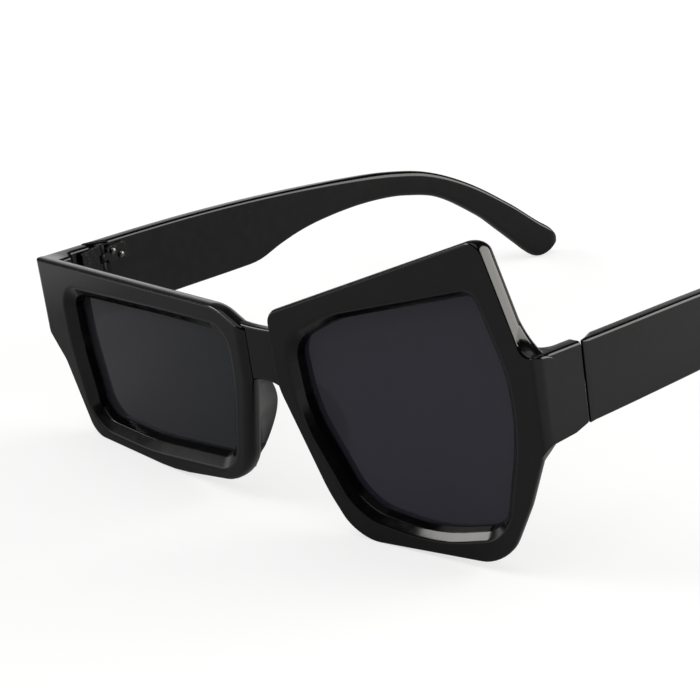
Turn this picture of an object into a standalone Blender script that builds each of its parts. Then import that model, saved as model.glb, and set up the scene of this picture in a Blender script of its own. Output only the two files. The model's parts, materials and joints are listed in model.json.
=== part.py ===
"""Moulded fashion sunglasses with one small four-cornered rim and one large rim that rises to a point.

The glasses are built in their own frame: X runs across the face towards the large rim, Y runs back along
the temples and Z runs up. The last step rolls the whole model into the pose it takes when it is put down:
on the bottom of both rims and the tip of one temple.
"""
import math

import bmesh
import bpy
from mathutils import Matrix, Vector

MM = 0.001

# The whole front
HALF_WIDTH = 73.5 * MM
RIM_THICKNESS = 6.0 * MM
WRAP = math.radians(7.0)
FACE_TILT = math.radians(6.0)
FRONT_EDGE_ROUND = 0.4 * MM
SIDE_CORNER_ROUND = 1.5 * MM
REAR_EDGE_ROUND = 3.2 * MM
SOFT_EDGE_ROUND = 5.4 * MM
FIRM_EDGE_ROUND = 1.5 * MM
SHARPEST_ROUND = 0.15 * MM
ARC_STEP = math.radians(14.0)
FINE_ARC_STEP = math.radians(30.0)
OVERRUN = 1.0 * MM
SEAT_GAP = 0.3 * MM

# Side numbers: the small rim is on the wearer's right, at minus X
SMALL = -1
LARGE = 1
SIDE_NAMES = {SMALL: "right", LARGE: "left"}

# Rims: heights that the outline shares refer to
SMALL_RIM_HEIGHT = 42.0 * MM
LARGE_RIM_HEIGHT = 70.0 * MM
RIM_HEIGHT = {SMALL: SMALL_RIM_HEIGHT, LARGE: LARGE_RIM_HEIGHT}
DEPTH_SHARES = (0.0, 0.018, 0.066, 0.15, 0.33, 0.47, 0.64, 0.8, 0.91, 0.975, 1.0)

# Each corner: across as a share of the half width, up and round as shares of the rim's height, and the
# kind of edge that leaves it. They run from below the side tab, under the rim and up to the side tab again.
SMALL_RIM_SHARES = (
    (0.925, -0.264, 0.10, "rim"),
    (0.836, -0.659, 0.12, "rim"),
    (0.440, -0.712, 1.20, "rim"),
    (0.068, -0.636, 0.22, "soft"),
    (-0.011, -0.068, 0.10, "soft"),
    (-0.012, 0.217, 0.03, "soft"),
    (0.100, 0.298, 0.25, "level"),
)
LARGE_RIM_SHARES = (
    (0.976, -0.133, 0.04, "soft"),
    (0.914, -0.300, 0.28, "soft"),
    (0.820, -0.492, 0.14, "rim"),
    (0.318, -0.493, 0.15, "rim"),
    (0.237, -0.352, 0.35, "rim"),
    (0.110, -0.031, 0.20, "rim"),
    (0.107, 0.195, 0.045, "soft"),
    (0.850, 0.506, 0.042, "firm"),
    (0.949, 0.172, 0.085, "level"),
)

# Lens openings, measured where the front chamfer ends
SMALL_OPENING_SHARES = (
    (0.847, 0.125, 0.085),
    (0.846, -0.140, 0.70),
    (0.803, -0.560, 0.15),
    (0.540, -0.595, 1.20),
    (0.146, -0.548, 0.13),
    (0.086, -0.080, 0.70),
    (0.084, 0.160, 0.11),
    (0.400, 0.151, 2.50),
)
LARGE_OPENING_SHARES = (
    (0.805, 0.329, 0.026),
    (0.324, 0.193, 0.40),
    (0.176, 0.105, 0.095),
    (0.193, -0.105, 0.36),
    (0.342, -0.396, 0.17),
    (0.585, -0.441, 0.50),
    (0.820, -0.388, 0.065),
    (0.888, -0.085, 0.60),
    (0.884, 0.090, 0.40),
)
SMALL_CHAMFER_WIDTH = 2.3 * MM
LARGE_CHAMFER_WIDTH = 1.7 * MM
CHAMFER_WIDTH = {SMALL: SMALL_CHAMFER_WIDTH, LARGE: LARGE_CHAMFER_WIDTH}
CHAMFER_DEPTH = 1.5 * MM
WALL_DRAFT = 0.5 * MM
REAR_FLARE = 0.5 * MM

# Lenses
LENS_SET_BACK = 3.55 * MM
LENS_THICKNESS = 1.4 * MM
LENS_BITE = 0.8 * MM
LENS_EDGE_BEVEL = 0.2 * MM

# Endpieces, which turn the corner from the rims to the temples
ENDPIECE_TOP = 12.1 * MM
ENDPIECE_THICKNESS = 3.4 * MM
SMALL_SIDE_FOOT = 3.8 * MM
LARGE_SIDE_FOOT = 7.0 * MM
ENDPIECE_FOOT = {SMALL: SMALL_SIDE_FOOT, LARGE: LARGE_SIDE_FOOT}
ENDPIECE_EDGE_ROUND = 0.7 * MM
ENDPIECE_LEDGE = 0.04 * MM
ENDPIECE_FILLET = 3.0 * MM
ENDPIECE_FILLET_DEGREES = (0.0, 22.0, 45.0, 68.0, 90.0)
ENDPIECE_START_SHARE = 0.35
SEAM_SET_BACK = 21.46 * MM
SEAM_LEAN = math.radians(4.5)
SEAM_FOOT = 5.2 * MM
SEAM_GAP = 0.3 * MM
SEAM_BEVEL = 0.3 * MM

# Bridge
BRIDGE_RECESS = 1.5 * MM
BRIDGE_GROOVE = 0.8 * MM
BRIDGE_THICKNESS = 3.4 * MM
BRIDGE_TOP = 9.8 * MM
BRIDGE_FOOT = 1.9 * MM
BRIDGE_RISE = 0.2 * MM
BRIDGE_ARCH = 1.4 * MM
BRIDGE_ROUND = 0.7 * MM
BRIDGE_MIDDLE = 4.4 * MM
BRIDGE_HALF_SPAN = 5.4 * MM
BRIDGE_STATIONS = 9

# Nose pads, moulded in one with the rims: down as a share of the pad's height, reach as a share of its
# reach, and where the rim's nasal edge lies as a share of the half width
SMALL_PAD_HEIGHT = 24.0 * MM
LARGE_PAD_HEIGHT = 28.0 * MM
PAD_HEIGHT = {SMALL: SMALL_PAD_HEIGHT, LARGE: LARGE_PAD_HEIGHT}
PAD_REACH = 8.6 * MM
PAD_FLARE = 4.4 * MM
PAD_BASE_WIDTH = 4.4 * MM
PAD_TIP_ROUND = 1.25 * MM
PAD_ROOT_DEPTH = 1.6 * MM
PAD_INSET = 0.35 * MM
PAD_ROUND_STEPS = 6
PAD_DOWN_SHARES = (0.05, 0.11, 0.18, 0.26, 0.36, 0.47, 0.59, 0.72, 0.84, 0.94, 1.0)
PAD_REACH_SHARES = {
    SMALL: (-0.12, 0.06, 0.26, 0.47, 0.68, 0.80, 0.68, 0.32, -0.05, -0.2, -0.2),
    LARGE: (-0.12, 0.22, 0.44, 0.56, 0.62, 0.58, 0.45, 0.22, 0.02, -0.16, -0.2),
}
PAD_EDGE_SHARES = {
    SMALL: (-0.011, -0.011, -0.008, -0.002, 0.005, 0.015, 0.025, 0.037, 0.048, 0.057, 0.062),
    LARGE: (0.104, 0.107, 0.114, 0.122, 0.134, 0.149, 0.167, 0.190, 0.215, 0.241, 0.261),
}

# Temples: places along the length and heights as shares of the length and of the height at the seam
TEMPLE_THICKNESS = 3.0 * MM
TEMPLE_LENGTH = 144.0 * MM
TEMPLE_TOP = 12.1 * MM
TEMPLE_BOW = 13.2 * MM
TEMPLE_EDGE_ROUND = 0.7 * MM
TEMPLE_EAR_ROUND = 1.2 * MM
TEMPLE_EAR_SHARE = 0.62
TEMPLE_STATIONS = 44
TEMPLE_CROWDING = 1.5
TEMPLE_TIP_SQUEEZE_SHARE = 0.978
TEMPLE_TIP_LEFT_SHARE = 0.04
TEMPLE_CUT_DEPTH = 2.3 * MM
TEMPLE_CUT_LENGTH = 5.2 * MM
LEAN_FADE_SHARE = 0.14
TEMPLE_TOP_SHARES = (
    (0.0, 0.0), (0.175, 0.0), (0.298, -0.017), (0.426, -0.056), (0.557, -0.119), (0.643, -0.186),
    (0.729, -0.333), (0.814, -0.638), (0.899, -1.079), (0.957, -1.435), (0.983, -1.582), (0.995, -1.680),
    (1.0, -1.757),
)
TEMPLE_FOOT_SHARES = (
    (0.0, 0.0), (0.170, 0.038), (0.310, 0.070), (0.354, 0.100), (0.399, 0.231), (0.443, 0.335),
    (0.488, 0.403), (0.557, 0.458), (0.619, 0.462), (0.677, 0.416), (0.749, 0.262), (0.833, -0.158),
    (0.875, -0.446), (0.916, -0.740), (0.930, -0.842), (0.949, -0.955), (0.962, -0.977), (0.976, -0.955), (0.988, -0.904),
    (0.996, -0.859), (1.0, -0.814),
)

# Hinges
HINGE_INBOARD = 0.4 * MM
HINGE_SET_BACK = 2.6 * MM
BARREL_RADIUS = 1.1 * MM
SMALL_SIDE_BARREL_BASE = 4.9 * MM
LARGE_SIDE_BARREL_BASE = 2.8 * MM
BARREL_BASE = {SMALL: SMALL_SIDE_BARREL_BASE, LARGE: LARGE_SIDE_BARREL_BASE}
LOWER_KNUCKLE = 2.7 * MM
MIDDLE_KNUCKLE = 1.8 * MM
UPPER_KNUCKLE = 2.1 * MM
KNUCKLE_GAP = 0.12 * MM
LEAF_THICKNESS = 0.9 * MM
LEAF_GAP = 0.25 * MM
FRONT_LEAF_LENGTH = 3.6 * MM
ANCHOR_LENGTH = 2.0 * MM
ANCHOR_DEPTH = 1.5 * MM
ANCHOR_MARGIN = 0.9 * MM
TEMPLE_LEAF_LENGTH = 5.8 * MM
TEMPLE_LEAF_MARGIN = 0.4 * MM
TEMPLE_LEAF_FOOT = 1.8 * MM
TEMPLE_LEAF_TOP = 5.7 * MM
LEAF_ROUND = 0.8 * MM
ROUND_STEPS = 20

SCREW_RADIUS = 0.45 * MM
SCREW_CLEARANCE = 0.08 * MM
SCREW_HEAD_RADIUS = 0.7 * MM
SCREW_HEAD_HEIGHT = 0.5 * MM
SCREW_SEAT_DEPTH = 0.6 * MM
SCREW_SLOT_WIDTH = 0.25 * MM
SCREW_SLOT_DEPTH = 0.2 * MM
SCREW_END_SHORT = 0.15 * MM

RIVET_RADIUS = 0.4 * MM
RIVET_HEAD_RADIUS = 0.8 * MM
RIVET_HEAD_HEIGHT = 0.4 * MM
RIVET_DOME_DEGREES = (25.0, 60.0)
RIVET_BITE = 1.5 * MM
RIVET_ROOM = 0.2 * MM
UPPER_RIVET_PLACE_SHARES = (0.28, 0.70)
LOWER_RIVET_PLACE_SHARES = (0.68, 0.31)

# Resting pose
SETTLE_ROUNDS = 8


def clear_scene():
    """Remove every object and every unused mesh, so that the script can be run again."""
    for item in list(bpy.data.objects):
        bpy.data.objects.remove(item, do_unlink=True)
    for mesh in list(bpy.data.meshes):
        bpy.data.meshes.remove(mesh)
    for group in list(bpy.data.collections):
        bpy.data.collections.remove(group)


def new_collection(name):
    group = bpy.data.collections.new(name)
    bpy.context.scene.collection.children.link(group)
    return group


def new_material(name, colour, roughness, metallic=0.0):
    """A Principled material with the part's own colour, roughness and metallic value."""
    stuff = bpy.data.materials.new(name)
    stuff.use_nodes = True
    shader = stuff.node_tree.nodes["Principled BSDF"]
    shader.inputs["Base Color"].default_value = (*colour, 1.0)
    shader.inputs["Roughness"].default_value = roughness
    shader.inputs["Metallic"].default_value = metallic
    stuff.diffuse_color = (*colour, 1.0)
    return stuff


def loft_mesh(name, rings):
    """Join rings of equally many points into one closed mesh with a face on each end."""
    work = bmesh.new()
    rows = [[work.verts.new(point) for point in ring] for ring in rings]
    count = len(rows[0])
    for low, high in zip(rows, rows[1:]):
        for index in range(count):
            after = (index + 1) % count
            work.faces.new((low[index], low[after], high[after], high[index]))
    work.faces.new(reversed(rows[0]))
    work.faces.new(rows[-1])
    bmesh.ops.recalc_face_normals(work, faces=work.faces)
    mesh = bpy.data.meshes.new(name)
    work.to_mesh(mesh)
    work.free()
    if signed_volume(mesh) < 0:
        mesh.flip_normals()
    return mesh


def signed_volume(mesh):
    """Volume inside the mesh, negative where its faces point inwards."""
    work = bmesh.new()
    work.from_mesh(mesh)
    volume = work.calc_volume(signed=True)
    work.free()
    return volume


def add_object(name, mesh, group, stuff=None, parent=None):
    item = bpy.data.objects.new(name, mesh)
    group.objects.link(item)
    if stuff is not None:
        mesh.materials.append(stuff)
    if parent is not None:
        item.parent = parent
    return item


def add_cutter(name, mesh, parent=None):
    """A hidden helper solid for a Boolean modifier."""
    item = add_object(name, mesh, cutters, None, parent)
    item.hide_render = True
    item.display_type = "WIRE"
    return item


def add_boolean(item, tool, operation):
    step = item.modifiers.new(f"{operation.lower()} {tool.name}", "BOOLEAN")
    step.operation = operation
    step.solver = "EXACT"
    step.object = tool


def add_empty(name, parent, matrix):
    item = bpy.data.objects.new(name, None)
    sunglasses.objects.link(item)
    item.parent = parent
    item.matrix_local = matrix
    return item


# Outlines in the plane of a rim, across and up

def side_of_frame():
    """How much a level, outward-facing side grows across for each unit of depth."""
    return math.cos(FACE_TILT) * math.tan(WRAP)


def edge_shift(kind, depth):
    """How far an edge of the outer outline lies inside its drawn place at this depth."""
    front = SIDE_CORNER_ROUND if kind == "tab" else FRONT_EDGE_ROUND
    rear = {"tab": 0.0, "soft": SOFT_EDGE_ROUND, "firm": FIRM_EDGE_ROUND}.get(kind, REAR_EDGE_ROUND)
    shift = 0.0
    if depth < front:
        shift += front - math.sqrt(front ** 2 - (front - depth) ** 2)
    into_rear = depth - (RIM_THICKNESS - rear)
    if into_rear > 0:
        shift += rear - math.sqrt(max(rear ** 2 - into_rear ** 2, 0.0))
    if kind == "tab":
        shift -= depth * side_of_frame()
    if kind == "level":
        shift += depth * math.tan(FACE_TILT)
    return shift


def move_corners(corners, shifts):
    """Corners after each edge has moved inwards by its own shift; the corner list runs anticlockwise."""
    count = len(corners)
    moved = []
    for index, (point, radius) in enumerate(corners):
        way_in = (point - corners[index - 1][0]).normalized()
        way_out = (corners[(index + 1) % count][0] - point).normalized()
        side_in = Vector((-way_in.y, way_in.x))
        side_out = Vector((-way_out.y, way_out.x))
        shift_in = shifts[index - 1]
        shift_out = shifts[index]
        turn = way_in.x * way_out.y - way_in.y * way_out.x
        mean = (shift_in + shift_out) / 2
        if abs(turn) < math.sin(ARC_STEP):
            middle = (side_in + side_out).normalized()
            step = middle * (mean / middle.dot(side_in))
        else:
            step = Vector((
                (shift_in * side_out.y - shift_out * side_in.y) / turn,
                (side_in.x * shift_out - side_out.x * shift_in) / turn,
            ))
        change = -mean if turn > 0 else mean
        moved.append((point + step, max(radius + change, SHARPEST_ROUND)))
    return moved


def round_corners(corners, steps):
    """Points along the outline, with an arc of a set number of steps at each corner."""
    count = len(corners)
    points = []
    for index, (point, radius) in enumerate(corners):
        to_last = corners[index - 1][0] - point
        to_next = corners[(index + 1) % count][0] - point
        half = to_last.angle(to_next) / 2
        room = min(to_last.length, to_next.length) / 2
        reach = min(radius / math.tan(half), room)
        round_radius = reach * math.tan(half)
        middle = (to_last.normalized() + to_next.normalized()).normalized()
        centre = point + middle * (round_radius / math.sin(half))
        start = point + to_last.normalized() * reach - centre
        end = point + to_next.normalized() * reach - centre
        sweep = math.atan2(start.x * end.y - start.y * end.x, start.dot(end))
        for step in range(steps[index] + 1):
            angle = sweep * step / steps[index]
            turned = Vector((
                start.x * math.cos(angle) - start.y * math.sin(angle),
                start.x * math.sin(angle) + start.y * math.cos(angle),
            ))
            points.append(centre + turned)
    return points


def corner_steps(corners):
    """Arc steps for each corner, from the angle that the outline turns there."""
    count = len(corners)
    steps = []
    for index, (point, _) in enumerate(corners):
        to_last = corners[index - 1][0] - point
        to_next = corners[(index + 1) % count][0] - point
        turn = math.pi - to_last.angle(to_next)
        steps.append(max(2, math.ceil(turn / ARC_STEP)))
    return steps


def facing_corners(side, corners):
    """Mirror the corners of the small rim, and put both lists in anticlockwise order."""
    placed = [(Vector((side * across, up)), radius) for across, up, radius in corners]
    area = 0.0
    for index, (point, _) in enumerate(placed):
        last = placed[index - 1][0]
        area += last.x * point.y - last.y * point.x
    return placed, area > 0


def share_corners(side, rows):
    """Corners from rows of shares of the half width and of the rim's height."""
    across_unit = HALF_WIDTH / math.cos(WRAP)
    up_unit = RIM_HEIGHT[side]
    return [(row[0] * across_unit, row[1] * up_unit, row[2] * up_unit) for row in rows]


def rim_rings(side):
    """Rings of one rim's outer shape, from its front face to its rear face."""
    rows = SMALL_RIM_SHARES if side == SMALL else LARGE_RIM_SHARES
    corners = share_corners(side, rows)
    kinds = [row[3] for row in rows]
    tab_across = HALF_WIDTH / math.cos(WRAP)
    tab_round = SIDE_CORNER_ROUND if side == SMALL else ENDPIECE_EDGE_ROUND
    corners.append((tab_across, ENDPIECE_TOP / math.cos(FACE_TILT), ENDPIECE_EDGE_ROUND))
    kinds.append("tab")
    corners.append((tab_across, -ENDPIECE_FOOT[side] / math.cos(FACE_TILT), tab_round))
    kinds.append("rim")
    placed, anticlockwise = facing_corners(side, corners)
    if not anticlockwise:
        placed = placed[::-1]
        kinds = kinds[-2::-1] + kinds[-1:]
    steps = corner_steps(placed)
    rings = []
    for share in DEPTH_SHARES:
        depth = share * RIM_THICKNESS
        shifts = [edge_shift(kind, depth) for kind in kinds]
        flat = round_corners(move_corners(placed, shifts), steps)
        rings.append([on_face(side, point.x, point.y, depth) for point in flat])
    return rings


def opening_rings(side, levels):
    """Rings around one lens opening; each level is a depth and how far outside the opening it lies."""
    rows = SMALL_OPENING_SHARES if side == SMALL else LARGE_OPENING_SHARES
    placed, anticlockwise = facing_corners(side, share_corners(side, rows))
    if not anticlockwise:
        placed = placed[::-1]
    steps = corner_steps(placed)
    rings = []
    for depth, outside in levels:
        flat = round_corners(move_corners(placed, [-outside] * len(placed)), steps)
        rings.append([on_face(side, point.x, point.y, depth) for point in flat])
    return rings


# The two face planes and the seam

def face_axes(side):
    """Across, up and back directions of one rim's plane."""
    turn = side * WRAP
    across = Vector((math.cos(turn), math.sin(turn), 0))
    up = Vector((
        math.sin(turn) * math.sin(FACE_TILT),
        -math.cos(turn) * math.sin(FACE_TILT),
        math.cos(FACE_TILT),
    ))
    return across, up, up.cross(across)


def on_face(side, across, up, depth):
    """Point at this place on a rim's front plane, moved back by depth."""
    axis_across, axis_up, axis_back = face_axes(side)
    return axis_across * across + axis_up * up + axis_back * depth


def face_y(side, x, z, depth):
    """Y where a line along Y meets the plane that lies this deep behind a rim's front."""
    back = face_axes(side)[2]
    return (depth - back.x * x - back.z * z) / back.y


def seam_y(z):
    """Y of the middle of the seam between endpiece and temple at this height."""
    return SEAM_SET_BACK + (ENDPIECE_TOP - z) * math.tan(SEAM_LEAN)


def rounded_box_ring(low, high, radius, place):
    """Ring around a rectangle with rounded corners; place turns its two coordinates into a point."""
    room = min(high[0] - low[0], high[1] - low[1]) / 2
    corners = [(Vector(spot), min(radius, room)) for spot in (
        (low[0], low[1]), (high[0], low[1]), (high[0], high[1]), (low[0], high[1]))]
    steps = [math.ceil(math.pi / 2 / FINE_ARC_STEP)] * len(corners)
    return [place(point.x, point.y) for point in round_corners(corners, steps)]


# Pieces of the front frame

def endpiece_rings(side):
    """Rings of the wall that runs back from the rim's side tab to the seam."""
    start = RIM_THICKNESS * ENDPIECE_START_SHARE
    fillet_levels = [math.radians(angle) for angle in ENDPIECE_FILLET_DEGREES]
    levels = [(start, 0.0, ENDPIECE_FILLET, 0.0)]
    for angle in fillet_levels:
        depth = RIM_THICKNESS + ENDPIECE_FILLET * math.sin(angle)
        levels.append((depth, 0.0, ENDPIECE_FILLET * (1 - math.sin(math.acos(1 - math.sin(angle)))), 0.0))
    levels.append((0.0, 1.0, 0.0, 0.0))
    levels.append((0.0, 1.0, 0.0, SEAM_BEVEL))
    outer = HALF_WIDTH - ENDPIECE_LEDGE
    inner = HALF_WIDTH - ENDPIECE_THICKNESS
    seam_depth = SEAM_SET_BACK
    rings = []
    for depth, at_seam, widen, bevel in levels:
        share = at_seam if at_seam else depth / seam_depth
        foot = ENDPIECE_FOOT[side] + (SEAM_FOOT - ENDPIECE_FOOT[side]) * share

        def place(x, z, depth=depth, at_seam=at_seam, bevel=bevel):
            if at_seam:
                y = seam_y(z) - SEAM_GAP / 2 - (0.0 if bevel else SEAM_BEVEL)
            else:
                y = face_y(side, side * x, z, depth)
            return Vector((side * x, y, z))

        low = (inner - widen + bevel, -foot + bevel)
        high = (outer - bevel, ENDPIECE_TOP - ENDPIECE_LEDGE - bevel)
        rings.append(rounded_box_ring(low, high, ENDPIECE_EDGE_ROUND, place))
    return rings


def bridge_rings():
    """Rings of the recessed bridge, which dips in a soft groove along both rims."""
    rings = []
    for index in range(BRIDGE_STATIONS):
        out = 2 * index / (BRIDGE_STATIONS - 1) - 1
        x = BRIDGE_MIDDLE + out * BRIDGE_HALF_SPAN
        recess = BRIDGE_RECESS + BRIDGE_GROOVE * out ** 4
        rise = BRIDGE_RISE * out ** 2
        arch = BRIDGE_ARCH * out ** 2

        def place(back, z, x=x, recess=recess):
            return Vector((x, recess + back - z * math.tan(FACE_TILT), z))

        low = (0.0, -BRIDGE_FOOT - arch)
        high = (BRIDGE_THICKNESS, BRIDGE_TOP + rise)
        rings.append(rounded_box_ring(low, high, BRIDGE_ROUND, place))
    return rings


def pad_rings(side):
    """Level rings of one nose pad, a lobe that leaves the rim's nasal edge and flares as it goes back."""
    rings = []
    unit = HALF_WIDTH / math.cos(WRAP)
    for down, reach, edge in zip(PAD_DOWN_SHARES, PAD_REACH_SHARES[side], PAD_EDGE_SHARES[side]):
        z = -down * PAD_HEIGHT[side]
        nasal = edge * unit + PAD_INSET
        root = face_y(side, side * nasal, z, PAD_ROOT_DEPTH)
        rear = face_y(side, side * nasal, z, RIM_THICKNESS)
        tip = rear + reach * PAD_REACH
        flare = PAD_FLARE * max(reach, 0.0) + PAD_TIP_ROUND
        centre = Vector((nasal + flare, tip - PAD_TIP_ROUND))
        way = Vector((flare - PAD_TIP_ROUND, PAD_REACH)).normalized()
        square = Vector((way.y, -way.x))
        ring = [Vector((side * nasal, root, z))]
        for step in range(PAD_ROUND_STEPS + 1):
            angle = math.pi * step / PAD_ROUND_STEPS
            spot = centre + (way * math.sin(angle) - square * math.cos(angle)) * PAD_TIP_ROUND
            ring.append(Vector((side * spot.x, spot.y, z)))
        ring.append(Vector((side * (nasal + PAD_BASE_WIDTH), root, z)))
        rings.append(ring)
    return rings


def lens_groove():
    """Depths of the groove's front and rear walls."""
    return LENS_SET_BACK - SEAT_GAP, LENS_SET_BACK + LENS_THICKNESS + SEAT_GAP


def opening_levels(side):
    """Levels of the cutter for one opening: chamfer, wall, lens groove and rear lip."""
    groove_front, groove_rear = lens_groove()
    slope = CHAMFER_WIDTH[side] / CHAMFER_DEPTH
    groove = LENS_BITE + SEAT_GAP - WALL_DRAFT
    return (
        (-OVERRUN, CHAMFER_WIDTH[side] + OVERRUN * slope),
        (CHAMFER_DEPTH, 0.0),
        (groove_front, -WALL_DRAFT),
        (groove_front, groove),
        (groove_rear, groove),
        (groove_rear, -WALL_DRAFT),
        (RIM_THICKNESS, REAR_FLARE - WALL_DRAFT),
        (RIM_THICKNESS + SEAT_GAP, REAR_FLARE - WALL_DRAFT),
    )


def lens_levels():
    front = LENS_SET_BACK
    rear = LENS_SET_BACK + LENS_THICKNESS
    full = LENS_BITE - WALL_DRAFT
    return (
        (front, full - LENS_EDGE_BEVEL),
        (front + LENS_EDGE_BEVEL, full),
        (rear - LENS_EDGE_BEVEL, full),
        (rear, full - LENS_EDGE_BEVEL),
    )


def build_front(parent):
    """The moulded front: two rims, bridge, two endpieces and two nose pads in one solid."""
    front = add_object("front_frame", loft_mesh("front_frame", rim_rings(SMALL)), sunglasses, black, parent)
    added = (
        ("large_rim", rim_rings(LARGE)),
        ("bridge", bridge_rings()),
        ("endpiece_right", endpiece_rings(SMALL)),
        ("endpiece_left", endpiece_rings(LARGE)),
        ("pad_right", pad_rings(SMALL)),
        ("pad_left", pad_rings(LARGE)),
    )
    for name, rings in added:
        add_boolean(front, add_cutter(name, loft_mesh(name, rings), parent), "UNION")
    for side in (SMALL, LARGE):
        name = f"opening_{SIDE_NAMES[side]}"
        tool = add_cutter(name, loft_mesh(name, opening_rings(side, opening_levels(side))), parent)
        add_boolean(front, tool, "DIFFERENCE")
        name = f"anchor_pocket_{SIDE_NAMES[side]}"
        tool = add_cutter(name, anchor_block(name, side, SEAT_GAP), parent)
        tool.matrix_local = hinge_matrix(side)
        add_boolean(front, tool, "DIFFERENCE")
    return front


def build_lens(side, parent):
    name = f"lens_{SIDE_NAMES[side]}"
    return add_object(name, loft_mesh(name, opening_rings(side, lens_levels())), sunglasses, smoke, parent)


# Temples

def smooth_between(rows, share):
    """Smooth curve through rows of shares: height share at this place along the length."""
    for index in range(len(rows) - 1):
        if share <= rows[index + 1][0]:
            break
    before = rows[max(index - 1, 0)]
    left = rows[index]
    right = rows[index + 1]
    after = rows[min(index + 2, len(rows) - 1)]
    span = right[0] - left[0]
    local = (share - left[0]) / span
    slope_left = (right[1] - before[1]) / (right[0] - before[0]) * span
    slope_right = (after[1] - left[1]) / (after[0] - left[0]) * span
    square = local * local
    cube = square * local
    return ((2 * cube - 3 * square + 1) * left[1] + (cube - 2 * square + local) * slope_left
            + (3 * square - 2 * cube) * right[1] + (cube - square) * slope_right)


def temple_rings(side):
    """Upright rings along one temple, from the seam to the tip behind the ear."""
    height = TEMPLE_TOP + SEAM_FOOT
    cut_share = TEMPLE_CUT_LENGTH / TEMPLE_LENGTH
    places = [0.0, SEAM_BEVEL / TEMPLE_LENGTH, cut_share]
    for index in range(2, TEMPLE_STATIONS + 1):
        places.append(1 - (1 - index / TEMPLE_STATIONS) ** TEMPLE_CROWDING)
    rings = []
    for share in places:
        top = TEMPLE_TOP + smooth_between(TEMPLE_TOP_SHARES, share) * height
        foot = -SEAM_FOOT + smooth_between(TEMPLE_FOOT_SHARES, share) * height
        bevel = SEAM_BEVEL if share == 0.0 else 0.0
        squeeze = max(share - TEMPLE_TIP_SQUEEZE_SHARE, 0.0) / (1 - TEMPLE_TIP_SQUEEZE_SHARE)
        end = 1 - math.sqrt(max(1 - squeeze ** 2, TEMPLE_TIP_LEFT_SHARE))
        bow = TEMPLE_BOW * share ** 2
        lean = max(1 - share / LEAN_FADE_SHARE, 0.0) * math.tan(SEAM_LEAN)
        outer = HALF_WIDTH - bow - bevel - end * TEMPLE_THICKNESS / 2
        cut = TEMPLE_CUT_DEPTH * max(1 - share / cut_share, 0.0)
        inner = HALF_WIDTH - TEMPLE_THICKNESS - bow + bevel + cut + end * TEMPLE_THICKNESS / 2

        def place(x, z, share=share, lean=lean):
            y = SEAM_SET_BACK + SEAM_GAP / 2 + share * TEMPLE_LENGTH + (ENDPIECE_TOP - z) * lean
            return Vector((side * x, y, z))

        middle = (top + foot) / 2
        half = max((top - foot) / 2 - bevel, TEMPLE_EDGE_ROUND)
        low = (inner, middle - half)
        high = (outer, middle + half)
        to_ear = min(share / TEMPLE_EAR_SHARE, 1.0) ** 4
        radius = TEMPLE_EDGE_ROUND + (TEMPLE_EAR_ROUND - TEMPLE_EDGE_ROUND) * to_ear
        rings.append(rounded_box_ring(low, high, radius, place))
    return rings


def build_temple(side, axis_empty):
    """One temple with two blind holes for the rivets, in the frame of its hinge axis."""
    name = f"temple_{SIDE_NAMES[side]}"
    mesh = loft_mesh(name, temple_rings(side))
    mesh.transform(hinge_matrix(side).inverted())
    temple = add_object(name, mesh, sunglasses, black, axis_empty)
    for label, shares in (("upper", UPPER_RIVET_PLACE_SHARES), ("lower", LOWER_RIVET_PLACE_SHARES)):
        hole = f"rivet_hole_{label}_{SIDE_NAMES[side]}"
        tool = add_cutter(hole, rivet_hole(hole, side, shares), axis_empty)
        add_boolean(temple, tool, "DIFFERENCE")
    return temple


# Hinges, built in the frame of their axis: X outboard for the large side, Y back, Z along the axis

def hinge_matrix(side):
    """Place of the hinge axis in the frame of the glasses; Z of this frame is the axis."""
    inner_face = HALF_WIDTH - TEMPLE_THICKNESS
    base = BARREL_BASE[side]
    place = Vector((side * (inner_face - HINGE_INBOARD), seam_y(base) + HINGE_SET_BACK, base))
    return Matrix.Translation(place) @ Matrix.Rotation(SEAM_LEAN, 4, "X")


def knuckle_spans():
    """Low and high ends of the lower, middle and upper knuckle along the axis."""
    lower = (0.0, LOWER_KNUCKLE)
    middle = (lower[1] + KNUCKLE_GAP, lower[1] + KNUCKLE_GAP + MIDDLE_KNUCKLE)
    upper = (middle[1] + KNUCKLE_GAP, middle[1] + KNUCKLE_GAP + UPPER_KNUCKLE)
    return lower, middle, upper


def turned_mesh(name, profile, steps=ROUND_STEPS):
    """Solid of revolution about Z from a profile of radius and height pairs, both of its ends flat."""
    rings = []
    for radius, height in profile:
        ring = []
        for step in range(steps):
            angle = 2 * math.pi * (step + 0.5) / steps
            ring.append(Vector((radius * math.cos(angle), radius * math.sin(angle), height)))
        rings.append(ring)
    return loft_mesh(name, rings)


def knuckle_mesh(name, span):
    edge = SHARPEST_ROUND
    return turned_mesh(name, (
        (BARREL_RADIUS - edge, span[0]),
        (BARREL_RADIUS, span[0] + edge),
        (BARREL_RADIUS, span[1] - edge),
        (BARREL_RADIUS - edge, span[1]),
    ))


def box_mesh(name, low, high, radius, side):
    """Block with rounded edges along X, mirrored to the side it belongs to."""
    rings = []
    for x in (low[0], high[0]):
        rings.append(rounded_box_ring((low[1], low[2]), (high[1], high[2]), radius,
                                      lambda y, z, x=x: Vector((side * x, y, z))))
    return loft_mesh(name, rings)


def leaf_outer(thickness):
    """Distance from the axis out to the face of a leaf that lies on a wall of this thickness."""
    return HINGE_INBOARD + TEMPLE_THICKNESS - thickness - LEAF_GAP


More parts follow.
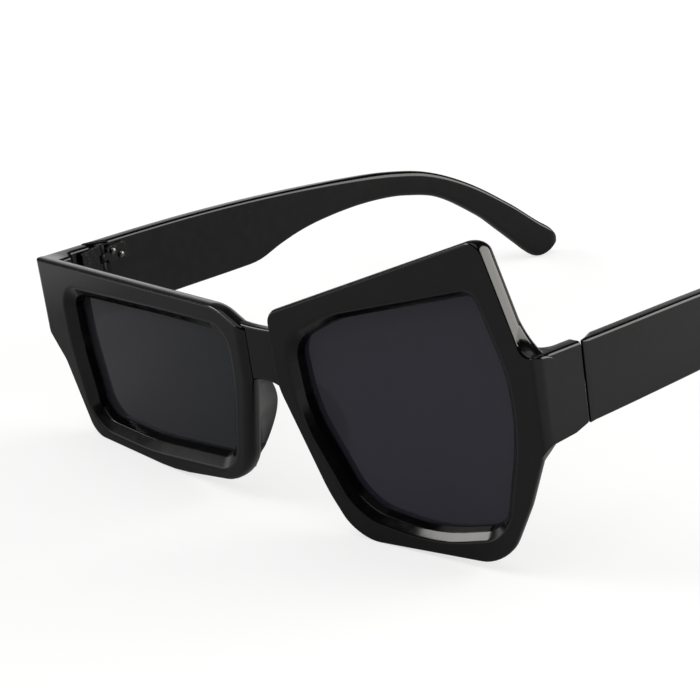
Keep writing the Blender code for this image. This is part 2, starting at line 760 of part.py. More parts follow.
def anchor_block(name, side, room):
    """Block of the front leaf that is sunk in the endpiece, or its pocket when room is given."""
    top = knuckle_spans()[2][1] - ANCHOR_MARGIN + room
    outer = leaf_outer(ENDPIECE_THICKNESS)
    start = outer - LEAF_THICKNESS / 2
    middle = -HINGE_SET_BACK - FRONT_LEAF_LENGTH / 2
    low = (start, middle - ANCHOR_LENGTH / 2 - room, ANCHOR_MARGIN - room)
    high = (outer + LEAF_GAP + ANCHOR_DEPTH + room, middle + ANCHOR_LENGTH / 2 + room, top)
    return box_mesh(name, low, high, SHARPEST_ROUND, side)


def screw_bore(name):
    """Cutter for the bore along the axis, with the seat of the screw head at its upper end."""
    low, _, high = knuckle_spans()
    flat = math.cos(math.pi / ROUND_STEPS)
    bore = (SCREW_RADIUS + SCREW_CLEARANCE) / flat
    seat = (SCREW_HEAD_RADIUS + SCREW_CLEARANCE) / flat
    floor = high[1] - SCREW_SEAT_DEPTH
    return turned_mesh(name, (
        (bore, low[0] - OVERRUN),
        (bore, floor),
        (seat, floor),
        (seat, high[1] + OVERRUN),
    ))


def build_front_hinge(side, place_empty):
    """Front half of the hinge: two knuckles, their leaf and the anchor block in one solid."""
    name = f"front_hinge_{SIDE_NAMES[side]}"
    lower, _, upper = knuckle_spans()
    outer = leaf_outer(ENDPIECE_THICKNESS)
    hinge = add_object(name, knuckle_mesh(name, lower), sunglasses, metal, place_empty)
    tools = [(f"{name}_upper", knuckle_mesh(name, upper))]
    for label, span in (("low", lower), ("high", upper)):
        low = (outer - LEAF_THICKNESS, -HINGE_SET_BACK, span[0])
        high = (outer, 0.0, span[1])
        tools.append((f"{name}_web_{label}", box_mesh(name, low, high, SHARPEST_ROUND, side)))
    low = (outer - LEAF_THICKNESS, -HINGE_SET_BACK - FRONT_LEAF_LENGTH, lower[0])
    high = (outer, -BARREL_RADIUS - KNUCKLE_GAP, upper[1])
    tools.append((f"{name}_leaf", box_mesh(name, low, high, LEAF_ROUND, side)))
    tools.append((f"{name}_anchor", anchor_block(name, side, 0.0)))
    for label, mesh in tools:
        add_boolean(hinge, add_cutter(label, mesh, place_empty), "UNION")
    add_boolean(hinge, add_cutter(f"{name}_bore", screw_bore(name), place_empty), "DIFFERENCE")
    return hinge


def temple_leaf_span():
    """Low and high ends of the temple leaf along Y and along the axis."""
    start = BARREL_RADIUS + TEMPLE_LEAF_MARGIN
    return (start, TEMPLE_LEAF_FOOT), (start + TEMPLE_LEAF_LENGTH, TEMPLE_LEAF_TOP)


def build_temple_hinge(side, axis_empty):
    """Rear half of the hinge: the middle knuckle and the leaf riveted to the temple."""
    name = f"temple_hinge_{SIDE_NAMES[side]}"
    _, middle, _ = knuckle_spans()
    outer = leaf_outer(TEMPLE_THICKNESS)
    inner = outer - LEAF_THICKNESS
    (start, base), (end, top) = temple_leaf_span()
    hinge = add_object(name, knuckle_mesh(name, middle), sunglasses, metal, axis_empty)
    web_end = (outer, start + LEAF_ROUND, middle[1])
    web = box_mesh(name, (inner, 0.0, middle[0]), web_end, SHARPEST_ROUND, side)
    leaf = box_mesh(name, (inner, start, base), (outer, end, top), LEAF_ROUND, side)
    add_boolean(hinge, add_cutter(f"{name}_web", web, axis_empty), "UNION")
    add_boolean(hinge, add_cutter(f"{name}_leaf", leaf, axis_empty), "UNION")
    add_boolean(hinge, add_cutter(f"{name}_bore", screw_bore(name), axis_empty), "DIFFERENCE")
    for label, shares in (("upper", UPPER_RIVET_PLACE_SHARES), ("lower", LOWER_RIVET_PLACE_SHARES)):
        hole = f"{name}_hole_{label}"
        add_boolean(hinge, add_cutter(hole, rivet_hole(hole, side, shares), axis_empty), "DIFFERENCE")
    return hinge


def build_screw(side, place_empty):
    """Hinge screw with a slotted head that is sunk in the upper knuckle."""
    name = f"hinge_screw_{SIDE_NAMES[side]}"
    low, _, high = knuckle_spans()
    head = high[1] - SCREW_HEAD_HEIGHT
    screw = add_object(name, turned_mesh(name, (
        (SCREW_RADIUS - SHARPEST_ROUND, low[0] + SCREW_END_SHORT),
        (SCREW_RADIUS, low[0] + SCREW_END_SHORT + SHARPEST_ROUND),
        (SCREW_RADIUS, head),
        (SCREW_HEAD_RADIUS, head),
        (SCREW_HEAD_RADIUS, high[1] - SHARPEST_ROUND),
        (SCREW_HEAD_RADIUS - SHARPEST_ROUND, high[1]),
    )), sunglasses, steel, place_empty)
    top = high[1]
    reach = SCREW_HEAD_RADIUS + OVERRUN
    low_corner = (-reach, -SCREW_SLOT_WIDTH / 2, top - SCREW_SLOT_DEPTH)
    high_corner = (reach, SCREW_SLOT_WIDTH / 2, top + OVERRUN)
    slot = box_mesh(f"{name}_slot", low_corner, high_corner, 0.0, LARGE)
    add_boolean(screw, add_cutter(f"{name}_slot", slot, place_empty), "DIFFERENCE")
    return screw


def rivet_place(shares):
    """Place of a rivet's axis on the temple leaf: along Y and along the hinge axis."""
    (start, base), (end, top) = temple_leaf_span()
    return start + (end - start) * shares[0], base + (top - base) * shares[1]


def turn_outboard(mesh, side, shares):
    """Turn a solid made about Z so that it points outboard from the axis at a rivet's place."""
    y, z = rivet_place(shares)
    mesh.transform(Matrix.Translation((0, y, z)) @ Matrix.Rotation(side * math.pi / 2, 4, "Y"))
    return mesh


def rivet_hole(name, side, shares):
    """Cutter for the hole through the leaf and the blind hole in the temple."""
    radius = (RIVET_RADIUS + RIVET_ROOM) / math.cos(math.pi / ROUND_STEPS)
    inner = leaf_outer(TEMPLE_THICKNESS) - LEAF_THICKNESS
    deep = HINGE_INBOARD + RIVET_BITE + RIVET_ROOM
    return turn_outboard(turned_mesh(name, ((radius, inner - OVERRUN), (radius, deep))), side, shares)


def build_rivet(side, label, shares, axis_empty):
    name = f"rivet_{label}_{SIDE_NAMES[side]}"
    head = leaf_outer(TEMPLE_THICKNESS) - LEAF_THICKNESS - RIVET_ROOM
    flat, shoulder = (math.radians(angle) for angle in RIVET_DOME_DEGREES)
    mesh = turned_mesh(name, (
        (RIVET_HEAD_RADIUS * math.sin(flat), head - RIVET_HEAD_HEIGHT),
        (RIVET_HEAD_RADIUS * math.sin(shoulder), head - RIVET_HEAD_HEIGHT * math.cos(shoulder)),
        (RIVET_HEAD_RADIUS, head),
        (RIVET_RADIUS, head),
        (RIVET_RADIUS, HINGE_INBOARD + RIVET_BITE),
    ))
    return add_object(name, turn_outboard(mesh, side, shares), sunglasses, steel, axis_empty)


# Resting pose

def lowest_point(items, matrix, wanted):
    """Lowest vertex, in world coordinates, of the given objects among those that are wanted."""
    lowest = None
    for item, local in items:
        for vertex in item.data.vertices:
            point = local @ vertex.co
            if not wanted(point):
                continue
            placed = matrix @ point
            if lowest is None or placed.z < lowest[1].z:
                lowest = (point, placed)
    return lowest[0]


def settle(glasses, front, temple):
    """Roll the glasses until both rims and the small side's temple touch the table."""
    large = bpy.data.objects["large_rim"]
    pieces = [(front, Matrix()), (large, Matrix()), (temple, hinge_matrix(SMALL))]
    matrix = Matrix()
    for _ in range(SETTLE_ROUNDS):
        small_touch = lowest_point(pieces[:1], matrix, lambda point: True)
        large_touch = lowest_point(pieces[1:2], matrix, lambda point: True)
        temple_touch = lowest_point(pieces[2:], matrix, lambda point: True)
        normal = (large_touch - small_touch).cross(temple_touch - small_touch).normalized()
        if normal.z < 0:
            normal = -normal
        matrix = normal.rotation_difference(Vector((0, 0, 1))).to_matrix().to_4x4()
    corners = []
    for item in sunglasses.objects:
        if item.type == "MESH":
            local = matrix @ item.matrix_world
            corners.extend(local @ vertex.co for vertex in item.data.vertices)
    corners.extend(matrix @ vertex.co for vertex in large.data.vertices)
    low = [min(point[axis] for point in corners) for axis in range(3)]
    high = [max(point[axis] for point in corners) for axis in range(3)]
    move = Vector((-(low[0] + high[0]) / 2, -(low[1] + high[1]) / 2, -low[2]))
    glasses.matrix_world = Matrix.Translation(move) @ matrix


clear_scene()
sunglasses = new_collection("square_sunglasses")
cutters = new_collection("cutters")
black = new_material("gloss_black_plastic", (0.012, 0.012, 0.013), 0.12)
smoke = new_material("smoke_lens", (0.02, 0.024, 0.03), 0.05)
metal = new_material("black_hinge_metal", (0.03, 0.03, 0.032), 0.35, 1.0)
steel = new_material("dark_steel", (0.12, 0.12, 0.125), 0.3, 1.0)

rest = add_empty("rest_pose", None, Matrix())
front_piece = build_front(rest)
for part_side in (SMALL, LARGE):
    build_lens(part_side, rest)
    side_name = SIDE_NAMES[part_side]
    fixed = add_empty(f"hinge_place_{side_name}", rest, hinge_matrix(part_side))
    moving = add_empty(f"temple_axis_{side_name}", rest, hinge_matrix(part_side))
    build_front_hinge(part_side, fixed)
    build_screw(part_side, fixed)
    build_temple_hinge(part_side, moving)
    build_temple(part_side, moving)
    build_rivet(part_side, "upper", UPPER_RIVET_PLACE_SHARES, moving)
    build_rivet(part_side, "lower", LOWER_RIVET_PLACE_SHARES, moving)

bpy.context.view_layer.update()
settle(rest, front_piece, bpy.data.objects["temple_right"])
bpy.context.view_layer.update()
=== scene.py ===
"""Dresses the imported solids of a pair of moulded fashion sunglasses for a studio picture.

One small four-cornered rim and one large rim that rises to a point share a recessed bridge. Every size is
in millimetres in the frame of the glasses: X runs across the face towards the large rim, Y back along the
temples and Z up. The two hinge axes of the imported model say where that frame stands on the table.
"""
from __future__ import annotations

import json
import logging
import math
from dataclasses import dataclass, field
from enum import Enum
from typing import Callable, Sequence

import bmesh
import bpy
from mathutils import Matrix, Vector

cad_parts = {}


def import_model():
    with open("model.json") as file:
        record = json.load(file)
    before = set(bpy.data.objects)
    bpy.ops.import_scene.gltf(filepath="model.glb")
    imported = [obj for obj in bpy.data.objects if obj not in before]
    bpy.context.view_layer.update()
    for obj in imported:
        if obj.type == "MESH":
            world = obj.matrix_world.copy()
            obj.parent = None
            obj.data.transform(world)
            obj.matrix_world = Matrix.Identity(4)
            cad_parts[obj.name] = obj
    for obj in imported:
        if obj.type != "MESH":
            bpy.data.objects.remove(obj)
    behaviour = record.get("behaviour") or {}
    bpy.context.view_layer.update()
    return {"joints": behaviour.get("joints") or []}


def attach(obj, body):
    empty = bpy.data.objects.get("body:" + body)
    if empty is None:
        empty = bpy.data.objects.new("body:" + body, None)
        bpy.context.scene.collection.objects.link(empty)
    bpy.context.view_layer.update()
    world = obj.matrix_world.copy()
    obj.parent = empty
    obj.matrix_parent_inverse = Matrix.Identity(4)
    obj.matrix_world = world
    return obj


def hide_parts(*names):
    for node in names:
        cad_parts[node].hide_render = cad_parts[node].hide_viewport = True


MM = 0.001
HALF_EDGE = 0.499
LOG = logging.getLogger("square_sunglasses")
Place = Callable[[float, float], Vector]
Colour = tuple[float, float, float]
Span = tuple[float, float]
Ring = list[bmesh.types.BMEdge]
Tree = bpy.types.NodeTree
Socket = bpy.types.NodeSocket
Node = bpy.types.Node
Finish = bpy.types.Material
Shell = bpy.types.Object


class Side(Enum):
    """The two halves of the glasses; the value is the sign of X."""

    SMALL = -1
    LARGE = 1

    @property
    def wearer(self) -> str:
        """The side as the wearer names it."""
        return "right" if self is Side.SMALL else "left"

    @property
    def body(self) -> str:
        """The moving body of the temple on this side."""
        return f"{self.wearer}_temple"


class Edge(Enum):
    """How an edge of a rim's outline runs back from the front face."""

    RIM = "rim"
    SOFT = "soft"
    FIRM = "firm"
    VALLEY = "valley"
    LEVEL = "level"
    TAB = "tab"


@dataclass(frozen=True)
class Corner:
    """One corner of an outline: its place, rounding and leaving edge.

    The rounding grows by the spread with depth and takes at most the room, a share of the shorter edge.
    """

    across: float
    up: float
    rounding: float
    edge: Edge = Edge.RIM
    spread: float = 0.0
    room: float = HALF_EDGE


@dataclass(frozen=True)
class Turn:
    """One corner of a ring: its spot, its rounding, the steps of the rounding and the room it may take."""

    spot: Vector
    rounding: float
    steps: int
    room: float = HALF_EDGE


Row = tuple[list[Turn], Place]


# Shared sizes


@dataclass(frozen=True)
class FaceSizes:
    """Sizes that the two rims, the endpieces and the temples share."""

    half_width: float = 73.5
    thickness: float = 6.0
    wrap: float = math.radians(7.0)
    tilt: float = math.radians(6.0)
    endpiece_top: float = 12.1
    temple_thickness: float = 3.0
    seam_set_back: float = 21.46
    seam_lean: float = math.radians(4.5)
    seam_foot: float = 5.2
    seam_gap: float = 0.3
    seam_bevel: float = 0.3
    seam_soft: float = 0.09
    endpiece_thickness: float = 3.4
    hinge_inboard: float = 0.4
    hinge_set_back: float = 2.6
    small_barrel_base: float = 4.9
    large_barrel_base: float = 2.8

    @property
    def unit(self) -> float:
        """Half of the front along a rim's plane, to which the shares across it refer."""
        return self.half_width / math.cos(self.wrap)

    def axes(self, side: Side) -> tuple[Vector, Vector, Vector]:
        """Directions across, up and back on one rim's front plane.

        Args:
            side: The rim.

        Returns:
            Three unit vectors.
        """
        turn = side.value * self.wrap
        across = Vector((math.cos(turn), math.sin(turn), 0))
        up = Vector((
            math.sin(turn) * math.sin(self.tilt),
            -math.cos(turn) * math.sin(self.tilt),
            math.cos(self.tilt),
        ))
        return across, up, up.cross(across)

    def on_face(self, side: Side, across: float, up: float, depth: float) -> Vector:
        """Point on a rim's front plane, moved back by depth.

        Args:
            side: The rim.
            across: Place across the plane, growing with X.
            up: Place up the plane.
            depth: Distance behind the plane.

        Returns:
            The point in the frame of the glasses.
        """
        axis_across, axis_up, axis_back = self.axes(side)
        return axis_across * across + axis_up * up + axis_back * depth

    def face_y(self, side: Side, x: float, z: float, depth: float) -> float:
        """Y at which a line along Y meets the plane that lies depth behind a rim's front."""
        back = self.axes(side)[2]
        return (depth - back.x * x - back.z * z) / back.y

    def seam_y(self, z: float) -> float:
        """Y of the middle of the seam between endpiece and temple at height z."""
        return self.seam_set_back + (self.endpiece_top - z) * math.tan(self.seam_lean)

    def hinge_spot(self, side: Side) -> Vector:
        """Foot of a hinge axis.

        Args:
            side: The side of the hinge.

        Returns:
            The point in the frame of the glasses.
        """
        inner = self.half_width - self.temple_thickness
        across = side.value * (inner - self.hinge_inboard)
        base = self.small_barrel_base if side is Side.SMALL else self.large_barrel_base
        return Vector((across, self.seam_y(base) + self.hinge_set_back, base))

    def hinge_matrix(self, side: Side) -> Matrix:
        """Frame of the hinge: its Z is the axis, its Y runs back."""
        return Matrix.Translation(self.hinge_spot(side)) @ Matrix.Rotation(self.seam_lean, 4, "X")


FACE = FaceSizes()


# Drawing and skinning


NEARLY_STRAIGHT = math.sin(math.radians(14.0))
NEARLY_FULL = 0.98
WELD = 1e-5
SOFT_EDGE = 0.12
FACING = 0.9


def smooth_at(rows: Sequence[Span], at: float) -> float:
    """Smooth value between measured ones.

    Args:
        rows: Measured places and values, in order.
        at: The place.

    Returns:
        The value there.
    """
    index = 0
    while index < len(rows) - 2 and at > rows[index + 1][0]:
        index += 1
    before, left = rows[max(index - 1, 0)], rows[index]
    right, after = rows[index + 1], rows[min(index + 2, len(rows) - 1)]
    span = right[0] - left[0]
    part = (at - left[0]) / span
    slope_in = (right[1] - before[1]) / (right[0] - before[0]) * span
    slope_out = (after[1] - left[1]) / (after[0] - left[0]) * span
    square, cube = part ** 2, part ** 3
    return ((2 * cube - 3 * square + 1) * left[1] + (cube - 2 * square + part) * slope_in
            + (3 * square - 2 * cube) * right[1] + (cube - square) * slope_out)


def drawn_outline(side: Side, corners: list[Corner], step: float) -> list[Turn]:
    """Corners of an outline on one rim's plane, in their measured order.

    Args:
        side: The rim; the small rim's corners are mirrored.
        corners: The corners in the order in which they were measured.
        step: Greatest angle that one step of a rounding turns.

    Returns:
        One turn for each corner.
    """
    spots = [Vector((side.value * corner.across, corner.up)) for corner in corners]
    steps = []
    for index, spot in enumerate(spots):
        inner = (spots[index - 1] - spot).angle(spots[(index + 1) % len(spots)] - spot)
        steps.append(max(2, math.ceil((math.pi - inner) / step)))
    return [
        Turn(spot, corner.rounding, count, corner.room)
        for spot, corner, count in zip(spots, corners, steps)
    ]


def is_anticlockwise(turns: list[Turn]) -> bool:
    """Whether the turns run anticlockwise."""
    area = sum(a.spot.x * b.spot.y - b.spot.x * a.spot.y for a, b in zip(turns, turns[1:] + turns[:1]))
    return area > 0


def shifted(turns: list[Turn], shifts: list[float], sharpest: float = SOFT_EDGE) -> list[Turn]:
    """Turns after each edge has moved inwards by its own shift.

    Args:
        turns: The turns in anticlockwise order.
        shifts: Inward shift of the edge that leaves each turn.
        sharpest: Smallest rounding that is left.

    Returns:
        The moved turns.
    """
    moved = []
    for index, turn in enumerate(turns):
        way_in = (turn.spot - turns[index - 1].spot).normalized()
        way_out = (turns[(index + 1) % len(turns)].spot - turn.spot).normalized()
        side_in = Vector((-way_in.y, way_in.x))
        side_out = Vector((-way_out.y, way_out.x))
        bend = way_in.x * way_out.y - way_in.y * way_out.x
        mean = (shifts[index - 1] + shifts[index]) / 2
        if abs(bend) < NEARLY_STRAIGHT:
            middle = (side_in + side_out).normalized()
            step = middle * (mean / middle.dot(side_in))
        else:
            step = Vector((
                (shifts[index - 1] * side_out.y - shifts[index] * side_in.y) / bend,
                (side_in.x * shifts[index] - side_out.x * shifts[index - 1]) / bend,
            ))
        rounding = max(turn.rounding + (-mean if bend > 0 else mean), sharpest)
        moved.append(Turn(turn.spot + step, rounding, turn.steps, turn.room))
    return moved


def box_turns(low: Span, high: Span, rounding: float, steps: int = 4) -> list[Turn]:
    """Turns of a rectangle with rounded corners.

    Args:
        low: Its lowest corner.
        high: Its highest corner.
        rounding: Radius of the corners, as far as they have room.
        steps: Steps of each rounding.

    Returns:
        Four turns in anticlockwise order.
    """
    room = min(high[0] - low[0], high[1] - low[1]) / 2 * NEARLY_FULL
    spots = ((low[0], low[1]), (high[0], low[1]), (high[0], high[1]), (low[0], high[1]))
    return [Turn(Vector(spot), min(rounding, room), steps) for spot in spots]


class Skin:
    """A skin that is drawn ring by ring and bridged into a closed shell."""

    def __init__(self) -> None:
        """Start an empty skin."""
        self.work = bmesh.new()

    def ring(self, turns: list[Turn], place: Place) -> Ring:
        """Draw one ring: a polygon whose corners are bevelled into arcs.

        Args:
            turns: The corners of the polygon.
            place: Puts the two coordinates of a corner in the frame of the glasses.

        Returns:
            The edges of the ring.
        """
        known = set(self.work.edges)
        corners = [self.work.verts.new(place(turn.spot.x, turn.spot.y)) for turn in turns]
        self.work.faces.new(corners)
        for index, turn in enumerate(turns):
            to_last = turns[index - 1].spot - turn.spot
            to_next = turns[(index + 1) % len(turns)].spot - turn.spot
            room = min(to_last.length, to_next.length) * turn.room
            reach = min(turn.rounding / math.tan(to_last.angle(to_next) / 2), room)
            bmesh.ops.bevel(
                self.work, geom=[corners[index]], offset=reach, offset_type="OFFSET", segments=turn.steps,
                profile=0.5, affect="VERTICES", clamp_overlap=False, material=-1,
            )
        fresh = [edge for edge in self.work.edges if edge not in known]
        drawn = {face for edge in fresh for face in edge.link_faces}
        bmesh.ops.delete(self.work, geom=list(drawn), context="FACES_ONLY")
        return fresh

    def bridge(self, rings: list[Ring]) -> None:
        """Bridge each ring to the next one."""
        for low, high in zip(rings, rings[1:]):
            bmesh.ops.bridge_loops(self.work, edges=low + high)

    def cap(self, ring: Ring) -> None:
        """Close a ring with one flat face."""
        bmesh.ops.edgeloop_fill(self.work, edges=ring)

    def washer(self, outer: Ring, inner: Ring) -> None:
        """Fill the flat band between two rings."""
        bmesh.ops.triangle_fill(self.work, use_beauty=True, edges=outer + inner)

    def soften(self, edges: Ring, size: float, steps: int) -> None:
        """Bevel edges into arcs.

        Args:
            edges: The edges.
            size: Width of the bevel.
            steps: Steps of each arc.
        """
        bmesh.ops.bevel(
            self.work, geom=edges, offset=size, offset_type="OFFSET", segments=steps, profile=0.5,
            affect="EDGES", material=-1,
        )

    def closed(self, name: str) -> Shell:
        """Turn the faces outwards and hand over the shell as an object.

        Args:
            name: Name of the new object.

        Returns:
            The closed shell.
        """
        bmesh.ops.remove_doubles(self.work, verts=self.work.verts, dist=WELD)
        bmesh.ops.recalc_face_normals(self.work, faces=self.work.faces)
        if self.work.calc_volume(signed=True) < 0:
            bmesh.ops.reverse_faces(self.work, faces=self.work.faces)
        mesh = bpy.data.meshes.new(name)
        self.work.to_mesh(mesh)
        self.work.free()
        item = bpy.data.objects.new(name, mesh)
        bpy.context.scene.collection.objects.link(item)
        return item


def tube(name: str, rows: list[Row]) -> Shell:
    """Skin a row of rings and cap both ends.

    Args:
        name: Name of the new object.
        rows: Turns and place of each ring, in order.

    Returns:
        The closed shell.
    """
    skin = Skin()
    rings = [skin.ring(turns, place) for turns, place in rows]
    skin.bridge(rings)
    skin.cap(rings[0])
    skin.cap(rings[-1])
    return skin.closed(name)


def united(base: Shell, others: list[Shell], operation: str = "UNION") -> Shell:
    """Join or cut a shell with others, which are used up.

    Args:
        base: The shell that stays.
        others: The shells that are joined to it or cut out of it.
        operation: UNION or DIFFERENCE.

    Returns:
        The base with its new mesh.
    """
    for other in others:
        step = base.modifiers.new(f"{operation.lower()} {other.name}", "BOOLEAN")
        step.operation = operation
        step.solver = "EXACT"
        step.object = other
    graph = bpy.context.evaluated_depsgraph_get()
    mesh = bpy.data.meshes.new_from_object(base.evaluated_get(graph))
    base.modifiers.clear()
    base.data = mesh
    for other in others:
        bpy.data.objects.remove(other)
    return base


@dataclass
class Workbench:
    """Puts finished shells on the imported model: place, shading, finish, body and slot."""

    rest: Matrix

    def settle(
        self, item: Shell, finish: Finish, body: str,
        nodes: tuple[str, ...], local: Matrix | None = None, sharp: float = 32.0,
    ) -> Shell:
        """Finish one piece and hang it on its body.

        Args:
            item: The shell, in millimetres.
            finish: Its material.
            body: The body that it rides on.
            nodes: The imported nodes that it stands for.
            local: Frame in which it was built, when not that of the glasses.
            sharp: Edges that turn more than this many degrees stay crisp.

        Returns:
            The same object.
        """
        mesh = item.data
        place = self.rest @ (local if local is not None else Matrix.Identity(4))
        mesh.transform(place)
        mesh.materials.clear()
        mesh.materials.append(finish)
        mesh.shade_smooth()
        mesh.set_sharp_from_angle(angle=math.radians(sharp))
        even = item.modifiers.new("even normals", "WEIGHTED_NORMAL")
        even.keep_sharp = True
        even.weight = 100
        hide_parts(*nodes)
        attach(item, body)
        LOG.info("%s: %d faces on %s", item.name, len(mesh.polygons), body)
        return item


def axes_about(axis: Vector, across: Vector) -> Matrix:
    """Right-handed axes whose Z is the axis and whose X lies as near across as it can."""
    behind = axis.cross(across).normalized()
    return Matrix((behind.cross(axis), behind, axis)).transposed()


def resting_matrix(joints: list[dict]) -> Matrix:
    """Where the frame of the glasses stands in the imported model.

    Args:
        joints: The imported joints; both hinge axes are parallel.

    Returns:
        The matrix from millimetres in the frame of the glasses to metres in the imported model.
    """
    found = {joint["child"]: joint for joint in joints}
    packed = [Vector(found[side.body]["pos_m"]) for side in Side]
    drawn = [FACE.hinge_spot(side) for side in Side]
    packed_axis = Vector(found[Side.LARGE.body]["axis"]).normalized()
    drawn_axis = FACE.hinge_matrix(Side.LARGE).col[2].xyz
    packed_axes = axes_about(packed_axis, packed[1] - packed[0])
    turn = packed_axes @ axes_about(drawn_axis, drawn[1] - drawn[0]).transposed()
    middle = (packed[0] + packed[1]) / 2
    local = (drawn[0] + drawn[1]) / 2 * MM
    return Matrix.Translation(middle - turn @ local) @ turn.to_4x4() @ Matrix.Scale(MM, 4)


# Finishes


WHOLE = (0.0, 1.0)


def named_group(name: str, inputs: dict[str, float], outputs: tuple[str, ...]) -> Tree:
    """Start a shader node group with named inputs and outputs.

    Args:
        name: Name of the group.
        inputs: Each input's name and default.
        outputs: Names of the outputs.

    Returns:
        The group with its Group Input and Group Output nodes.
    """
    group = bpy.data.node_groups.new(name, "ShaderNodeTree")
    for label, value in inputs.items():
        socket = group.interface.new_socket(label, in_out="INPUT", socket_type="NodeSocketFloat")
        socket.default_value = value
    for label in outputs:
        group.interface.new_socket(label, in_out="OUTPUT", socket_type="NodeSocketFloat")
    group.nodes.new("NodeGroupInput").name = "in"
    group.nodes.new("NodeGroupOutput").name = "out"
    return group


def noise(tree: Tree, scale: float, detail: float, vector: Socket) -> Node:
    """A noise texture on a vector.

    Args:
        tree: The tree that holds the node.
        scale: Waves for each unit of the vector.
        detail: Octaves of finer waves.
        vector: The coordinates that it reads.

    Returns:
        The noise node.
    """
    node = tree.nodes.new("ShaderNodeTexNoise")
    node.inputs["Scale"].default_value = scale
    node.inputs["Detail"].default_value = detail
    tree.links.new(vector, node.inputs["Vector"])
    return node


def mapped(tree: Tree, value: Socket, span: Span = WHOLE, to: Span = WHOLE) -> Socket:
    """A value mapped from one span to another and clamped.

    Args:
        tree: The tree that holds the node.
        value: The value.
        span: Lowest and highest value read.
        to: What they become.

    Returns:
        The mapped value.
    """
    node = tree.nodes.new("ShaderNodeMapRange")
    tree.links.new(value, node.inputs["Value"])
    for label, number in zip(("From Min", "From Max", "To Min", "To Max"), (*span, *to)):
        node.inputs[label].default_value = number
    return node.outputs["Result"]


def summed(tree: Tree, first: Socket, second: Socket | float, operation: str = "ADD") -> Socket:
    """One maths step on two values.

    Args:
        tree: The tree that holds the node.
        first: The first value.
        second: The second value, fixed or from a node.
        operation: ADD or another step of the maths node.

    Returns:
        The result.
    """
    node = tree.nodes.new("ShaderNodeMath")
    node.operation = operation
    tree.links.new(first, node.inputs[0])
    if isinstance(second, float):
        node.inputs[1].default_value = second
    else:
        tree.links.new(second, node.inputs[1])
    return node.outputs[0]


def object_spots(tree: Tree) -> Socket:
    """The Object coordinates of the surface."""
    return tree.nodes.new("ShaderNodeTexCoord").outputs["Object"]


def split_axes(tree: Tree, vector: Socket) -> bpy.types.NodeOutputs:
    """The three parts of a vector, by name.

    Args:
        tree: The tree that holds the node.
        vector: The vector.

    Returns:
        The sockets X, Y and Z.
    """
    node = tree.nodes.new("ShaderNodeSeparateXYZ")
    tree.links.new(vector, node.inputs["Vector"])
    return node.outputs


class SurfaceMarks:
    """The node groups that the finishes share, each built once."""

    fine_waves = 7.0
    fine_share = 0.06
    tone_span = (0.3, 0.7)
    line_lays = ((0.35, (900.0, 14.0, 900.0)), (1.25, (16.0, 760.0, 760.0)))
    line_lean = 0.2
    line_span = (0.74, 0.80)
    patch_waves = 45.0
    patch_span = (0.45, 0.62)
    dust_waves = 160.0
    dust_span = (0.60, 0.66)

    def __init__(self) -> None:
        """Build the groups."""
        self.flow = self.build_flow()
        self.hairlines = self.build_hairlines()
        self.specks = self.build_specks()

    def build_flow(self) -> Tree:
        """Slow waviness of a moulded or polished face, as a height and a tone.

        Returns:
            The node group.
        """
        group = named_group("moulding_flow", {"Waves": 60.0}, ("Height", "Tone"))
        spots = object_spots(group)
        scale = group.nodes["in"].outputs["Waves"]
        wide = noise(group, 1.0, 1.0, spots)
        fine = noise(group, 1.0, 2.0, spots)
        group.links.new(scale, wide.inputs["Scale"])
        group.links.new(summed(group, scale, self.fine_waves, "MULTIPLY"), fine.inputs["Scale"])
        faint = summed(group, fine.outputs["Fac"], self.fine_share, "MULTIPLY")
        group.links.new(summed(group, wide.outputs["Fac"], faint), group.nodes["out"].inputs["Height"])
        tone = mapped(group, fine.outputs["Fac"], self.tone_span)
        group.links.new(tone, group.nodes["out"].inputs["Tone"])
        return group

    def build_hairlines(self) -> Tree:
        """Fine handling marks that run in two directions, broken up by a patchy mask.

        Returns:
            The node group.
        """
        group = named_group("hairline_marks", {"Density": 0.5}, ("Mask",))
        spots = object_spots(group)
        marks = []
        for turn, stretch in self.line_lays:
            lay = group.nodes.new("ShaderNodeMapping")
            lay.inputs["Rotation"].default_value = (self.line_lean, turn, turn)
            lay.inputs["Scale"].default_value = stretch
            group.links.new(spots, lay.inputs["Vector"])
            line = noise(group, 1.0, 0.0, lay.outputs["Vector"])
            marks.append(mapped(group, line.outputs["Fac"], self.line_span))
        both = summed(group, marks[0], marks[1], "MAXIMUM")
        patches = noise(group, self.patch_waves, 1.0, spots)
        patchy = mapped(group, patches.outputs["Fac"], self.patch_span)
        broken = summed(group, both, patchy, "MULTIPLY")
        group.links.new(
            summed(group, broken, group.nodes["in"].outputs["Density"], "MULTIPLY"),
            group.nodes["out"].inputs["Mask"],
        )
        return group

    def build_specks(self) -> Tree:
        """Sparse specks of dust, as a mask.

        Returns:
            The node group.
        """
        group = named_group("dust_specks", {"Spread": 420.0, "Size": 0.05}, ("Mask",))
        spots = object_spots(group)
        cells = group.nodes.new("ShaderNodeTexVoronoi")
        group.links.new(spots, cells.inputs["Vector"])
        group.links.new(group.nodes["in"].outputs["Spread"], cells.inputs["Scale"])
        near = summed(group, cells.outputs["Distance"], group.nodes["in"].outputs["Size"], "LESS_THAN")
        chosen = noise(group, self.dust_waves, 0.0, spots)
        sparse = mapped(group, chosen.outputs["Fac"], self.dust_span)
        group.links.new(summed(group, near, sparse, "MULTIPLY"), group.nodes["out"].inputs["Mask"])
        return group


def put_group(tree: Tree, group: Tree, **values: float) -> Node:
    """Place a node group in a material with its own values.

    Args:
        tree: The tree that holds the node.
        group: The node group.
        values: Values of its inputs, by name.

    Returns:
        The group's node.
    """
    node = tree.nodes.new("ShaderNodeGroup")
    node.node_tree = group
    for label, value in values.items():
        node.inputs[label].default_value = value
    return node


